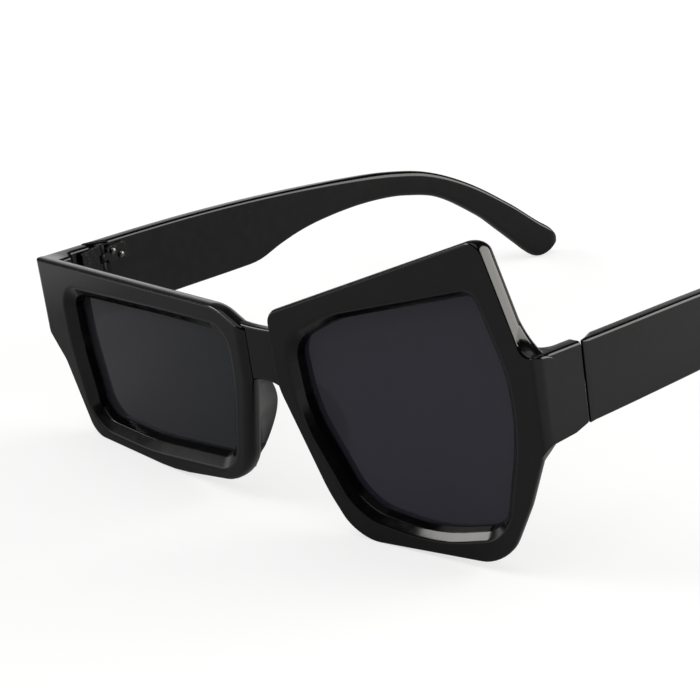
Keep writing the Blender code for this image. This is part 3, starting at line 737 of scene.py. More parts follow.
def blended(tree: Tree, share: Socket, first: Colour, second: Colour) -> Socket:
    """Two colours mixed by a share.

    Args:
        tree: The tree that holds the node.
        share: 0 gives the first colour, 1 the second.
        first: Linear red, green and blue.
        second: Linear red, green and blue.

    Returns:
        The mixed colour.
    """
    node = tree.nodes.new("ShaderNodeMix")
    node.data_type = "RGBA"
    tree.links.new(share, node.inputs[0])
    node.inputs[6].default_value = (*first, 1.0)
    node.inputs[7].default_value = (*second, 1.0)
    return node.outputs[2]


def bumped(tree: Tree, height: Socket, strength: float, distance: float) -> None:
    """Raise the surface of the material's shader by a height.

    Args:
        tree: The material's tree.
        height: The height, from 0 to 1.
        strength: Share of the effect.
        distance: Height of 1, in metres.
    """
    node = tree.nodes.new("ShaderNodeBump")
    node.inputs["Strength"].default_value = strength
    node.inputs["Distance"].default_value = distance
    tree.links.new(height, node.inputs["Height"])
    tree.links.new(node.outputs["Normal"], tree.nodes["Principled BSDF"].inputs["Normal"])


def shader_of(name: str) -> tuple[Finish, Tree, Node]:
    """A new material with its tree and its Principled shader.

    Args:
        name: Name of the material.

    Returns:
        The material, its tree and its shader.
    """
    stuff = bpy.data.materials.new(name)
    stuff.use_nodes = True
    return stuff, stuff.node_tree, stuff.node_tree.nodes["Principled BSDF"]


@dataclass(frozen=True)
class GlossBlackPlastic:
    """Injection-moulded plastic, dyed through and polished."""

    deep: Colour = (0.0018, 0.0018, 0.0020)
    lifted: Colour = (0.0034, 0.0034, 0.0037)
    roughness: Span = (0.10, 0.17)
    ior: float = 1.46
    name: str = "gloss_black_moulded"
    shine: float = 0.5
    wear: float = 0.10
    scratch_depth: float = 0.004
    relief: Span = (0.35, 0.00012)

    def build(self, marks: SurfaceMarks) -> Finish:
        """Build the material.

        Args:
            marks: The shared node groups.

        Returns:
            The material.
        """
        stuff, tree, shader = shader_of(self.name)
        flow = put_group(tree, marks.flow, Waves=70.0)
        lines = put_group(tree, marks.hairlines, Density=0.55)
        dust = put_group(tree, marks.specks, Spread=520.0, Size=0.05)
        tone = blended(tree, flow.outputs["Tone"], self.deep, self.lifted)
        tree.links.new(tone, shader.inputs["Base Color"])
        worn = summed(tree, lines.outputs["Mask"], dust.outputs["Mask"], "MAXIMUM")
        rough = mapped(tree, flow.outputs["Tone"], to=self.roughness)
        dulled = summed(tree, worn, self.wear, "MULTIPLY")
        tree.links.new(summed(tree, rough, dulled), shader.inputs["Roughness"])
        shader.inputs["IOR"].default_value = self.ior
        shader.inputs["Specular IOR Level"].default_value = self.shine
        scratched = summed(tree, worn, self.scratch_depth, "MULTIPLY")
        bumped(tree, summed(tree, flow.outputs["Height"], scratched, "SUBTRACT"), *self.relief)
        return stuff


@dataclass(frozen=True)
class SmokeTint:
    """Lens plastic with a dark grey-blue tint; its colour goes lighter across the lens, a painted reflection.
    """

    name: str
    span: Span
    dense: Colour
    light: Colour
    roughness: Span = (0.03, 0.06)
    ior: float = 1.45
    clear_share: float = 0.36
    wear: float = 0.05
    relief: Span = (0.2, 0.0001)

    def build(self, marks: SurfaceMarks) -> Finish:
        """Build the material.

        Args:
            marks: The shared node groups.

        Returns:
            The material.
        """
        stuff, tree, shader = shader_of(self.name)
        flow = put_group(tree, marks.flow, Waves=18.0)
        lines = put_group(tree, marks.hairlines, Density=0.3)
        # The colour goes lighter towards one end of the lens: a painted reflection, not a gradient in the
        # plastic.
        reflection_fade = mapped(tree, split_axes(tree, object_spots(tree))["X"], self.span, (1.0, 0.0))
        tree.links.new(blended(tree, reflection_fade, self.dense, self.light), shader.inputs["Base Color"])
        rough = mapped(tree, flow.outputs["Tone"], to=self.roughness)
        worn = summed(tree, lines.outputs["Mask"], self.wear, "MULTIPLY")
        tree.links.new(summed(tree, rough, worn), shader.inputs["Roughness"])
        shader.inputs["IOR"].default_value = self.ior
        shader.inputs["Transmission Weight"].default_value = self.clear_share
        bumped(tree, flow.outputs["Height"], *self.relief)
        return stuff


@dataclass(frozen=True)
class BlackenedHinge:
    """Blackened hinge metal, satin, with paler rubbed spots."""

    coat: Colour = (0.020, 0.020, 0.021)
    rubbed: Colour = (0.085, 0.083, 0.080)
    bare_span: Span = (0.72, 0.95)
    bare_share: Span = (0.0, 0.8)
    roughness: Span = (0.42, 0.26)
    relief: Span = (0.3, 0.00004)

    def build(self, marks: SurfaceMarks) -> Finish:
        """Build the material.

        Args:
            marks: The shared node groups.

        Returns:
            The material.
        """
        stuff, tree, shader = shader_of("blackened_hinge_metal")
        flow = put_group(tree, marks.flow, Waves=420.0)
        lines = put_group(tree, marks.hairlines, Density=1.0)
        spots = mapped(tree, flow.outputs["Tone"], self.bare_span, self.bare_share)
        rubbed = summed(tree, spots, lines.outputs["Mask"], "MAXIMUM")
        tree.links.new(blended(tree, rubbed, self.coat, self.rubbed), shader.inputs["Base Color"])
        shader.inputs["Metallic"].default_value = 1.0
        tree.links.new(mapped(tree, rubbed, to=self.roughness), shader.inputs["Roughness"])
        bumped(tree, flow.outputs["Height"], *self.relief)
        return stuff


@dataclass(frozen=True)
class TurnedSteel:
    """Dark steel of the screws and rivets, with the fine lines of the lathe."""

    dark: Colour = (0.085, 0.085, 0.088)
    bright: Colour = (0.26, 0.26, 0.255)
    lathe_lines: float = 5200.0
    cut_span: Span = (0.35, 0.65)
    roughness: Span = (0.34, 0.24)
    relief: Span = (0.25, 0.00003)

    def build(self, marks: SurfaceMarks) -> Finish:
        """Build the material.

        Args:
            marks: The shared node groups.

        Returns:
            The material.
        """
        stuff, tree, shader = shader_of("turned_dark_steel")
        lathe = noise(tree, self.lathe_lines, 1.0, object_spots(tree))
        lines = put_group(tree, marks.hairlines, Density=0.8)
        cut = mapped(tree, lathe.outputs["Fac"], self.cut_span)
        both = summed(tree, cut, lines.outputs["Mask"], "MAXIMUM")
        tree.links.new(blended(tree, both, self.dark, self.bright), shader.inputs["Base Color"])
        shader.inputs["Metallic"].default_value = 1.0
        tree.links.new(mapped(tree, cut, to=self.roughness), shader.inputs["Roughness"])
        bumped(tree, lathe.outputs["Fac"], *self.relief)
        return stuff


# Both lenses are one smoke tint; the larger lens's lighter colour and the fade across each lens are painted
# light.
TINTS = {
    Side.SMALL: SmokeTint(
        "smoke_tint_small", (-0.066, -0.008), (0.014, 0.0165, 0.0215), (0.044, 0.044, 0.053)),
    Side.LARGE: SmokeTint(
        "smoke_tint_large", (0.010, 0.070), (0.035, 0.036, 0.052), (0.040, 0.040, 0.057)),
}


# The moulded front


SMALL_OUTLINE = (
    Corner(0.925, -0.264, 0.10), Corner(0.836, -0.659, 0.12), Corner(0.440, -0.712, 1.20),
    Corner(0.068, -0.636, 0.26, Edge.VALLEY), Corner(-0.011, -0.068, 0.10, Edge.VALLEY),
    Corner(-0.012, 0.217, 0.03, Edge.SOFT), Corner(0.100, 0.306, 0.25, Edge.LEVEL),
)
LARGE_OUTLINE = (
    Corner(0.976, -0.133, 0.04, Edge.SOFT), Corner(0.914, -0.300, 0.28, Edge.SOFT),
    Corner(0.820, -0.492, 0.14), Corner(0.318, -0.493, 0.15),
    Corner(0.237, -0.352, 0.35), Corner(0.110, -0.031, 0.20),
    Corner(0.107, 0.195, 0.045, Edge.SOFT), Corner(0.850, 0.506, 0.042, Edge.FIRM),
    Corner(0.949, 0.172, 0.055, Edge.LEVEL, 0.2, 0.80),
)
PEAK_FOOT = next(i for i, corner in enumerate(LARGE_OUTLINE) if corner.spread > 0)
SMALL_OPENING = (
    Corner(0.847, 0.125, 0.085), Corner(0.846, -0.140, 0.70), Corner(0.803, -0.560, 0.15),
    Corner(0.540, -0.595, 1.20), Corner(0.146, -0.548, 0.13), Corner(0.086, -0.080, 0.70),
    Corner(0.084, 0.160, 0.11), Corner(0.400, 0.151, 2.50),
)
LARGE_OPENING = (
    Corner(0.805, 0.329, 0.026), Corner(0.324, 0.193, 0.40), Corner(0.176, 0.105, 0.095),
    Corner(0.193, -0.105, 0.36), Corner(0.342, -0.396, 0.17), Corner(0.585, -0.441, 0.50),
    Corner(0.820, -0.388, 0.11), Corner(0.888, -0.085, 0.60), Corner(0.884, 0.090, 0.40),
)


@dataclass
class Opening:
    """One lens opening: a soft shoulder, a chamfer, the wall and the groove that holds the lens."""

    side: Side
    corners: tuple[Corner, ...]
    rim_height: float
    chamfer_width: float
    chamfer_depth: float = 1.5
    shoulder: float = 1.5
    wall_draft: float = 0.5
    lens_front: float = 3.55
    lens_thickness: float = 1.4
    lens_bite: float = 0.8
    lens_bevel: float = 0.2
    seat_gap: float = 0.3
    rear_round: float = 0.5
    overrun: float = 1.0
    skim: float = 0.003
    arc_steps: int = 4
    edge_curve: tuple[Span, ...] = ((0.35, 0.05), (1.4, -0.3))
    rear_ledge: float = 0.1
    lens_soft: float = 0.06
    step: float = math.radians(7.0)

    def turns(self, outside: float) -> list[Turn]:
        """The outline, moved outwards.

        Args:
            outside: How far it lies outside the drawn opening.

        Returns:
            Its turns in anticlockwise order.
        """
        corners = [
            Corner(corner.across * FACE.unit, corner.up * self.rim_height, corner.rounding * self.rim_height)
            for corner in self.corners
        ]
        drawn = drawn_outline(self.side, corners, self.step)
        if not is_anticlockwise(drawn):
            drawn.reverse()
        return shifted(drawn, [-outside] * len(drawn))

    def front_levels(self) -> list[Span]:
        """Section from the front face over the shoulder and the chamfer to the groove.

        Returns:
            Depth and outward shift of each level.
        """
        slope = math.atan2(self.chamfer_depth, self.chamfer_width)
        reach = self.shoulder * math.tan(slope / 2)
        levels = []
        for index in range(self.arc_steps + 1):
            angle = slope * index / self.arc_steps
            levels.append((
                self.skim + self.shoulder * (1 - math.cos(angle)),
                self.chamfer_width + reach - self.shoulder * math.sin(angle),
            ))
        start, inset = SOFT_EDGE * math.sin(slope), SOFT_EDGE * math.cos(slope)
        levels.append((self.chamfer_depth - start, inset))
        for down, out in self.edge_curve:
            levels.append((self.chamfer_depth + SOFT_EDGE * down, SOFT_EDGE * out))
        levels.append((self.lens_front - self.seat_gap, -self.wall_draft))
        return levels

    def rear_levels(self) -> list[Span]:
        """Section from the rear wall of the groove to the rear face.

        Returns:
            Depth and outward shift of each level.
        """
        groove_rear = self.lens_front + self.lens_thickness + self.seat_gap
        levels = [(groove_rear, -self.wall_draft)]
        flat = FACE.thickness - self.rear_round
        for index in range(self.arc_steps + 1):
            angle = math.pi / 2 * index / self.arc_steps
            levels.append((
                flat + self.rear_round * math.sin(angle),
                -self.wall_draft + self.rear_ledge + self.rear_round * (1 - math.cos(angle)),
            ))
        return levels

    def tool(self, name: str) -> Shell:
        """Build the shape that cuts the opening out of a solid rim.

        Args:
            name: Name of the new object.

        Returns:
            The closed shell.
        """
        skin = Skin()
        groove = self.lens_bite + self.seat_gap - self.wall_draft
        front, rear = self.front_levels(), self.rear_levels()
        walls = (
            [(-self.overrun, front[0][1]), *front],
            [(front[-1][0], groove), (rear[0][0], groove)],
            [*rear, (rear[-1][0] + self.overrun, rear[-1][1])],
        )
        drawn = [
            [skin.ring(self.turns(outside), self.at(depth)) for depth, outside in wall]
            for wall in walls
        ]
        for rings in drawn:
            skin.bridge(rings)
        for ahead, behind in zip(drawn, drawn[1:]):
            skin.washer(ahead[-1], behind[0])
        skin.cap(drawn[0][0])
        skin.cap(drawn[-1][-1])
        return skin.closed(name)

    def at(self, depth: float) -> Place:
        """Place on the rim's plane, moved back by depth."""
        return lambda across, up: FACE.on_face(self.side, across, up, depth)

    def lens(self, name: str) -> Shell:
        """Build the lens that sits in the groove, its edges softened.

        Args:
            name: Name of the new object.

        Returns:
            The closed shell.
        """
        full = self.lens_bite - self.wall_draft
        rear = self.lens_front + self.lens_thickness
        edge = ((0.0, self.lens_bevel), (self.lens_soft, self.lens_soft), (self.lens_bevel, 0.0))
        levels = [(self.lens_front + down, full - inset) for down, inset in edge]
        levels += [(rear - up, full - inset) for up, inset in reversed(edge)]
        return tube(name, [(self.turns(outside), self.at(depth)) for depth, outside in levels])


@dataclass
class Rim:
    """One rim: its outline rounds over to the rear by a different amount along each kind of edge."""

    side: Side
    corners: tuple[Corner, ...]
    height: float
    endpiece_foot: float
    opening: Opening
    front_rounds: tuple[tuple[Edge, float, float], ...] = (
        (Edge.RIM, 0.4, 0.4), (Edge.SOFT, 0.8, 0.75), (Edge.FIRM, 0.4, 0.4), (Edge.VALLEY, 1.4, 2.4),
        (Edge.LEVEL, 0.9, 0.75), (Edge.TAB, 1.9, 1.9),
    )
    rear_rounds: tuple[tuple[Edge, float], ...] = (
        (Edge.RIM, 3.2), (Edge.SOFT, 5.4), (Edge.FIRM, 3.5), (Edge.VALLEY, 5.4), (Edge.LEVEL, 4.2),
        (Edge.TAB, 0.0),
    )
    tab_round: float = 1.5
    web_out: tuple[float, float, float] = (0.70, 0.06, 0.9)
    web_rise: Span = (3.0, 1.1)
    web_flatness: Span = (0.15, 0.25)
    web_bite: float = 0.03
    web_steps: int = 10
    web_start: float = 0.5
    endpiece_round: float = 0.7
    step: float = math.radians(7.0)
    depths: tuple[float, ...] = (
        0.0, 0.04, 0.12, 0.25, 0.4, 0.7, 1.1, 1.6, 2.0, 2.8,
        3.3, 3.8, 4.3, 4.75, 5.1, 5.4, 5.65, 5.82, 5.94, 6.0,
    )

    def edge_shift(self, edge: Edge, depth: float) -> float:
        """How far an edge lies inside its drawn place at this depth.

        Args:
            edge: The kind of edge.
            depth: Distance behind the front plane.

        Returns:
            The inward shift.
        """
        reach, inset = next((row[1], row[2]) for row in self.front_rounds if row[0] is edge)
        rear = dict(self.rear_rounds)[edge]
        shift = 0.0
        if depth < reach:
            shift += inset * (1 - math.sqrt(1 - (1 - depth / reach) ** 2))
        into_rear = depth - (FACE.thickness - rear)
        if into_rear > 0:
            shift += rear - math.sqrt(max(rear ** 2 - into_rear ** 2, 0.0))
        if edge is Edge.TAB:
            shift -= depth * math.cos(FACE.tilt) * math.tan(FACE.wrap)
        if edge is Edge.LEVEL:
            shift += depth * math.tan(FACE.tilt)
        return shift

    def turns(self, depth: float) -> list[Turn]:
        """The outer outline at one depth.

        Args:
            depth: Distance behind the front plane.

        Returns:
            Its turns in anticlockwise order.
        """
        unit = FACE.unit
        tab = self.tab_round if self.side is Side.SMALL else self.endpiece_round
        corners = [
            Corner(corner.across * unit, corner.up * self.height,
                   corner.rounding * self.height + corner.spread * depth, corner.edge, 0.0, corner.room)
            for corner in self.corners
        ]
        corners.append(Corner(unit, FACE.endpiece_top / math.cos(FACE.tilt), self.endpiece_round, Edge.TAB))
        corners.append(Corner(unit, -self.endpiece_foot / math.cos(FACE.tilt), tab))
        edges = [corner.edge for corner in corners]
        drawn = drawn_outline(self.side, corners, self.step)
        if not is_anticlockwise(drawn):
            drawn.reverse()
            edges = edges[-2::-1] + edges[-1:]
        return shifted(drawn, [self.edge_shift(edge, depth) for edge in edges])

    def build(self, name: str) -> Shell:
        """Build the rim with its opening.

        Args:
            name: Name of the new object.

        Returns:
            The closed shell.
        """
        skin = Skin()
        outer = [skin.ring(self.turns(depth), self.opening.at(depth)) for depth in self.depths]
        skin.bridge(outer)
        skin.cap(outer[0])
        skin.cap(outer[-1])
        return united(skin.closed(name), [self.opening.tool("opening")], "DIFFERENCE")

    def foot_row(self, foot: Corner, depth: float) -> Row:
        """One ring of the web: two sides sunk in the rim and a hollow curve between them.

        Args:
            foot: The corner that the web fills.
            depth: Distance behind the front plane.

        Returns:
            Turns and place of the ring.
        """
        drawn = Vector((foot.across * FACE.unit, foot.up * self.height))
        turns = self.turns(depth)
        index = min(range(len(turns)), key=lambda i: (turns[i].spot - drawn).length)
        spot = turns[index].spot
        to_tab, to_peak = turns[index - 1].spot - spot, turns[(index + 1) % len(turns)].spot - spot
        out = min(self.web_out[0] + self.web_out[1] * depth, self.web_out[2]) * to_tab.length
        rise = self.web_rise[0] + self.web_rise[1] * depth
        flatness = min(self.web_flatness[0] * depth, self.web_flatness[1])
        to_tab.normalize()
        to_peak.normalize()
        start = spot - (to_tab + to_peak) * self.web_bite
        arc = []
        for step in range(self.web_steps + 1):
            share, angle = step / self.web_steps, math.pi / 2 * step / self.web_steps
            along = (1 - math.sin(angle)) * (1 - flatness) + (1 - share) * flatness
            up = (1 - math.cos(angle)) * (1 - flatness) + share * flatness
            arc.append(start + to_tab * out * along + to_peak * rise * up)
        spots = [spot - to_tab - to_peak, arc[0] - to_peak, *arc, arc[-1] - to_tab]
        return [Turn(point, 0.0, 1) for point in spots], self.opening.at(depth)

    def foot_web(self, name: str, foot: Corner) -> Shell:
        """Build the web that fills a hollow corner of the outline and grows to the rear."""
        return tube(name, [self.foot_row(foot, depth) for depth in self.depths if depth > self.web_start])


@dataclass
class Endpiece:
    """The wall that turns the corner from a rim to its temple."""

    side: Side
    foot: float
    edge_round: float = 0.7
    ledge: float = 0.04
    fillet: float = 3.0
    fillet_steps: int = 8
    start_share: float = 0.35

    def row(self, depth: float, widen: float) -> Row:
        """One ring on a plane parallel to the rim's front.

        Args:
            depth: Distance behind the front plane.
            widen: How far the fillet widens the wall inwards.

        Returns:
            Turns and place of the ring.
        """
        foot = self.foot + (FACE.seam_foot - self.foot) * depth / FACE.seam_set_back
        sign = self.side.value
        low = (FACE.half_width - FACE.endpiece_thickness - widen, -foot)
        high = (FACE.half_width - self.ledge, FACE.endpiece_top - self.ledge)

        def place(x: float, z: float) -> Vector:
            """Point on the plane at this depth."""
            return Vector((sign * x, FACE.face_y(self.side, sign * x, z, depth), z))

        return box_turns(low, high, self.edge_round), place

    def seam_row(self, bevel: float) -> Row:
        """One ring at the seam, on its leaning plane.

        Args:
            bevel: How far the ring lies inside the full section.

        Returns:
            Turns and place of the ring.
        """
        low = (FACE.half_width - FACE.endpiece_thickness + bevel, -FACE.seam_foot + bevel)
        high = (FACE.half_width - self.ledge - bevel, FACE.endpiece_top - self.ledge - bevel)
        short = FACE.seam_gap / 2 + (FACE.seam_bevel - bevel)

        def place(x: float, z: float) -> Vector:
            """Point on the seam's plane."""
            return Vector((self.side.value * x, FACE.seam_y(z) - short, z))

        return box_turns(low, high, self.edge_round), place

    def build(self, name: str) -> Shell:
        """Build the wall with the fillet behind the rim.

        Args:
            name: Name of the new object.

        Returns:
            The closed shell.
        """
        rows = [self.row(FACE.thickness * self.start_share, self.fillet)]
        for index in range(self.fillet_steps + 1):
            angle = math.pi / 2 * index / self.fillet_steps
            depth = FACE.thickness + self.fillet * math.sin(angle)
            rows.append(self.row(depth, self.fillet * (1 - math.sin(math.acos(1 - math.sin(angle))))))
        for bevel in (0.0, FACE.seam_soft, FACE.seam_bevel):
            rows.append(self.seam_row(bevel))
        return tube(name, rows)


@dataclass
class NosePad:
    """One nose pad, a lobe that leaves the rim's nasal edge and flares as it goes back."""

    side: Side
    height: float
    reach_shares: tuple[float, ...]
    edge_shares: tuple[float, ...]
    down_shares: tuple[float, ...] = (0.05, 0.11, 0.18, 0.26, 0.36, 0.47, 0.59, 0.72, 0.84, 0.94, 1.0)
    reach: float = 8.6
    flare: float = 4.4
    base_width: float = 4.4
    tip_round: float = 1.25
    tip_steps: int = 7
    root_depth: float = 1.6
    inset: float = 0.35
    rings: int = 41

    def row(self, down: float) -> Row:
        """One level ring: the root on the rim and a round tip.

        Args:
            down: Share of the height below the middle of the glasses.

        Returns:
            Turns and place of the ring.
        """
        z = -down * self.height
        reach = smooth_at(list(zip(self.down_shares, self.reach_shares)), down)
        nasal = smooth_at(list(zip(self.down_shares, self.edge_shares)), down) * FACE.unit + self.inset
        sign = self.side.value
        root = FACE.face_y(self.side, sign * nasal, z, self.root_depth)
        rear = FACE.face_y(self.side, sign * nasal, z, FACE.thickness)
        tip = rear + reach * self.reach
        flare = self.flare * max(reach, 0.0) + self.tip_round
        centre = Vector((nasal + flare, tip - self.tip_round))
        way = Vector((flare - self.tip_round, self.reach)).normalized()
        square = Vector((way.y, -way.x))
        near = centre + (way - square) * self.tip_round
        far = centre + (way + square) * self.tip_round
        turns = [
            Turn(Vector((nasal, root)), 0.0, 1),
            Turn(near, self.tip_round * NEARLY_FULL, self.tip_steps),
            Turn(far, self.tip_round * NEARLY_FULL, self.tip_steps),
            Turn(Vector((nasal + self.base_width, root)), 0.0, 1),
        ]
        return turns, lambda x, y: Vector((sign * x, y, z))

    def build(self, name: str) -> Shell:
        """Build the lobe from its top to its foot.

        Args:
            name: Name of the new object.

        Returns:
            The closed shell.
        """
        first, last = self.down_shares[0], self.down_shares[-1]
        rows = [self.row(first + (last - first) * index / (self.rings - 1)) for index in range(self.rings)]
        return tube(name, rows)


@dataclass
class Bridge:
    """The bridge, set back from both rims, with a soft groove along each of them."""

    recess: float = 1.1
    groove: float = 0.2
    thickness: float = 3.4
    top: float = 9.8
    foot: float = 1.9
    rise: float = 0.2
    arch: float = 1.4
    edge_round: float = 0.7
    edge_steps: int = 6
    rear_round: float = 2.4
    rear_steps: int = 9
    middle: float = 4.4
    half_span: float = 5.4
    stations: int = 25

    def row(self, out: float) -> Row:
        """One upright ring of the bridge.

        Args:
            out: Place along it, from -1 at the small rim to 1 at the large rim.

        Returns:
            Turns and place of the ring.
        """
        x = self.middle + out * self.half_span
        recess = self.recess + self.groove * out ** 4
        low = (0.0, -self.foot - self.arch * out ** 2)
        high = (self.thickness, self.top + self.rise * out ** 2)
        turns = box_turns(low, high, self.edge_round, self.edge_steps)
        turns[2] = Turn(turns[2].spot, self.rear_round, self.rear_steps)
        return turns, lambda back, z: Vector((x, recess + back - z * math.tan(FACE.tilt), z))

    def build(self, name: str) -> Shell:
        """Build the bridge."""
        return tube(name, [self.row(2 * index / (self.stations - 1) - 1) for index in range(self.stations)])


@dataclass
class MouldedFront:
    """Both rims, the bridge, the endpieces and the nose pads, moulded in one piece."""

    small: Rim = field(default_factory=lambda: Rim(
        Side.SMALL, SMALL_OUTLINE, 42.0, 3.8, Opening(Side.SMALL, SMALL_OPENING, 42.0, 2.3)))
    large: Rim = field(default_factory=lambda: Rim(
        Side.LARGE, LARGE_OUTLINE, 70.0, 7.0, Opening(Side.LARGE, LARGE_OPENING, 70.0, 1.7)))
    small_pad: NosePad = field(default_factory=lambda: NosePad(
        Side.SMALL, 24.0,
        (-0.12, 0.06, 0.26, 0.47, 0.68, 0.80, 0.68, 0.32, -0.05, -0.2, -0.2),
        (-0.011, -0.011, -0.008, -0.002, 0.005, 0.015, 0.025, 0.038, 0.053, 0.067, 0.077)))
    large_pad: NosePad = field(default_factory=lambda: NosePad(
        Side.LARGE, 28.0,
        (-0.12, 0.22, 0.44, 0.56, 0.62, 0.58, 0.45, 0.22, 0.02, -0.16, -0.2),
        (0.104, 0.107, 0.114, 0.122, 0.134, 0.149, 0.167, 0.190, 0.215, 0.241, 0.261)))
    wall_start: float = 0.15
    wall_room: float = 1.0

    def wall_faces(self, item: Shell) -> list[int]:
        """Find the walls inside both openings, which get a weak shine that paints shade on them.

        Args:
            item: The front, still in the frame of the glasses.

        Returns:
            Their face numbers.
        """
        found = []
        for rim in (self.small, self.large):
            across, up, back = FACE.axes(rim.side)
            spots = [turn.spot for turn in rim.opening.turns(0.0)]
            middle = sum(spots, Vector((0.0, 0.0))) / len(spots)
            reach = max((spot - middle).length for spot in spots)
            for face in item.data.polygons:
                flat = Vector((face.center.dot(across), face.center.dot(up))) - middle
                inward = -flat.dot(Vector((face.normal.dot(across), face.normal.dot(up))))
                deep = rim.opening.chamfer_depth + self.wall_start < face.center.dot(back) < FACE.thickness
                if deep and inward > 0 and flat.length < reach + self.wall_room:
                    found.append(face.index)
        return found

    def build(self) -> Shell:
        """Build the front and unite its parts.

        Returns:
            The closed shell.
        """
        base = self.small.build("moulded_front")
        others = [
            self.large.build("large_rim"),
            self.large.foot_web("peak_foot_web", LARGE_OUTLINE[PEAK_FOOT]),
            Bridge().build("bridge"),
            Endpiece(Side.SMALL, self.small.endpiece_foot).build("small_endpiece"),
            Endpiece(Side.LARGE, self.large.endpiece_foot).build("large_endpiece"),
            self.small_pad.build("small_pad"),
            self.large_pad.build("large_pad"),
        ]
        return united(base, others)

    def dress(
        self, bench: Workbench, plastic: Finish, wall_shade: Finish, tints: dict[Side, Finish],
    ) -> None:
        """Build the front and both lenses and put them in place.

        Args:
            bench: Places and finishes the pieces.
            plastic: Finish of the front.
            wall_shade: Finish of the walls inside its openings, whose weak shine is painted shade.
            tints: Finish of each lens.
        """
        front = self.build()
        walls = self.wall_faces(front)
        bench.settle(front, plastic, "front", ("front_frame",), sharp=34.0)
        # The walls inside the openings take the weak-shine finish: painted shade in the recesses.
        front.data.materials.append(wall_shade)
        for index in walls:
            front.data.polygons[index].material_index = 1
        for rim in (self.small, self.large):
            lens = rim.opening.lens(f"{rim.side.wearer}_tinted_lens")
            bench.settle(lens, tints[rim.side], "front", (f"lens_{rim.side.wearer}",))


# Temples


@dataclass
class Temple:
    """One temple: a deep bar that narrows to the ear and drops behind it."""

    side: Side
    length: float = 144.0
    bow: float = 13.2
    edge_round: float = 0.7
    ear_round: float = 1.2
    ear_share: float = 0.62
    stations: int = 110
    crowding: float = 1.5
    squeeze_share: float = 0.978
    squeeze_rest: float = 0.04
    cut_depth: float = 2.3
    cut_length: float = 5.2
    lean_share: float = 0.14
    top_shares: tuple[Span, ...] = (
        (0.0, 0.0), (0.175, 0.0), (0.298, -0.017), (0.426, -0.056), (0.557, -0.119), (0.643, -0.186),
        (0.729, -0.333), (0.814, -0.638), (0.899, -1.079), (0.957, -1.435), (0.983, -1.582), (0.995, -1.680),
        (1.0, -1.757),
    )
    foot_shares: tuple[Span, ...] = (
        (0.0, 0.0), (0.170, 0.038), (0.310, 0.070), (0.354, 0.100), (0.399, 0.231), (0.443, 0.335),
        (0.488, 0.403), (0.557, 0.458), (0.619, 0.462), (0.677, 0.416), (0.749, 0.262), (0.833, -0.158),
        (0.875, -0.446), (0.916, -0.740), (0.930, -0.842), (0.949, -0.955), (0.962, -0.977), (0.976, -0.955),
        (0.988, -0.904), (0.996, -0.859), (1.0, -0.814),
    )

    def row(self, share: float, bevel: float = 0.0) -> Row:
        """One upright ring of the temple.

        Args:
            share: Place along the length, 0 at the seam and 1 at the tip.
            bevel: How far the ring lies inside the full section.

        Returns:
            The turns of the ring and their place.
        """
        height = FACE.endpiece_top + FACE.seam_foot
        top = FACE.endpiece_top + smooth_at(self.top_shares, share) * height
        foot = -FACE.seam_foot + smooth_at(self.foot_shares, share) * height
        squeeze = max(share - self.squeeze_share, 0.0) / (1 - self.squeeze_share)
        end = 1 - math.sqrt(max(1 - squeeze ** 2, self.squeeze_rest))
        bow = self.bow * share ** 2
        lean = max(1 - share / self.lean_share, 0.0) * math.tan(FACE.seam_lean)
        outer = FACE.half_width - bow - bevel - end * FACE.temple_thickness / 2
        cut = self.cut_depth * max(1 - share * self.length / self.cut_length, 0.0)
        inner = FACE.half_width - FACE.temple_thickness - bow + bevel + cut + end * FACE.temple_thickness / 2
        middle = (top + foot) / 2
        half = max((top - foot) / 2 - bevel, self.edge_round)
        to_ear = min(share / self.ear_share, 1.0) ** 4
        rounding = self.edge_round + (self.ear_round - self.edge_round) * to_ear

        def place(x: float, z: float) -> Vector:
            """Point on the ring's leaning plane."""
            y = FACE.seam_set_back + FACE.seam_gap / 2 + share * self.length + (FACE.endpiece_top - z) * lean
            return Vector((self.side.value * x, y, z))

        return box_turns((inner, middle - half), (outer, middle + half), rounding), place

    def build(self, name: str) -> Shell:
        """Build the bar from the seam to the tip.

        Args:
            name: Name of the new object.

        Returns:
            The closed shell.
        """
        bevel = FACE.seam_bevel
        soft = FACE.seam_soft
        rows = [self.row(0.0, bevel), self.row(soft / self.length, soft), self.row(bevel / self.length)]
        shares = [1 - (1 - index / self.stations) ** self.crowding for index in range(1, self.stations + 1)]
        shares.append(self.cut_length / self.length)
        rows.extend(self.row(share) for share in sorted(shares))
        return tube(name, rows)

    def dress(self, bench: Workbench, plastic: Finish) -> None:
        """Build the temple and hang it on its body.

        Args:
            bench: Places and finishes the piece.
            plastic: Finish of the temple.
        """
        wearer = self.side.wearer
        bar = self.build(f"{wearer}_temple_bar")
        bench.settle(bar, plastic, self.side.body, (f"temple_{wearer}",))


# Hinges, built in the frame of their axis


def turned(name: str, profile: tuple[Span, ...], steps: int = 48) -> Shell:
    """Spin a profile of radius and height pairs about Z.

    Args:
        name: Name of the new object.
        profile: The pairs; a profile that doesn't start and end on the axis is closed into a ring.
        steps: Steps of the full turn.

    Returns:
        The closed shell.
    """
    skin = Skin()
    verts = [skin.work.verts.new((radius, 0.0, height)) for radius, height in profile]
    pairs = list(zip(verts, verts[1:]))
    if profile[0][0] > 0 and profile[-1][0] > 0:
        pairs.append((verts[-1], verts[0]))
    edges = [skin.work.edges.new(pair) for pair in pairs]
    bmesh.ops.spin(
        skin.work, geom=verts + edges, cent=(0, 0, 0), axis=(0, 0, 1), dvec=(0, 0, 0),
        angle=2 * math.pi, space=Matrix.Identity(4), steps=steps, use_merge=True,
    )
    return skin.closed(name)


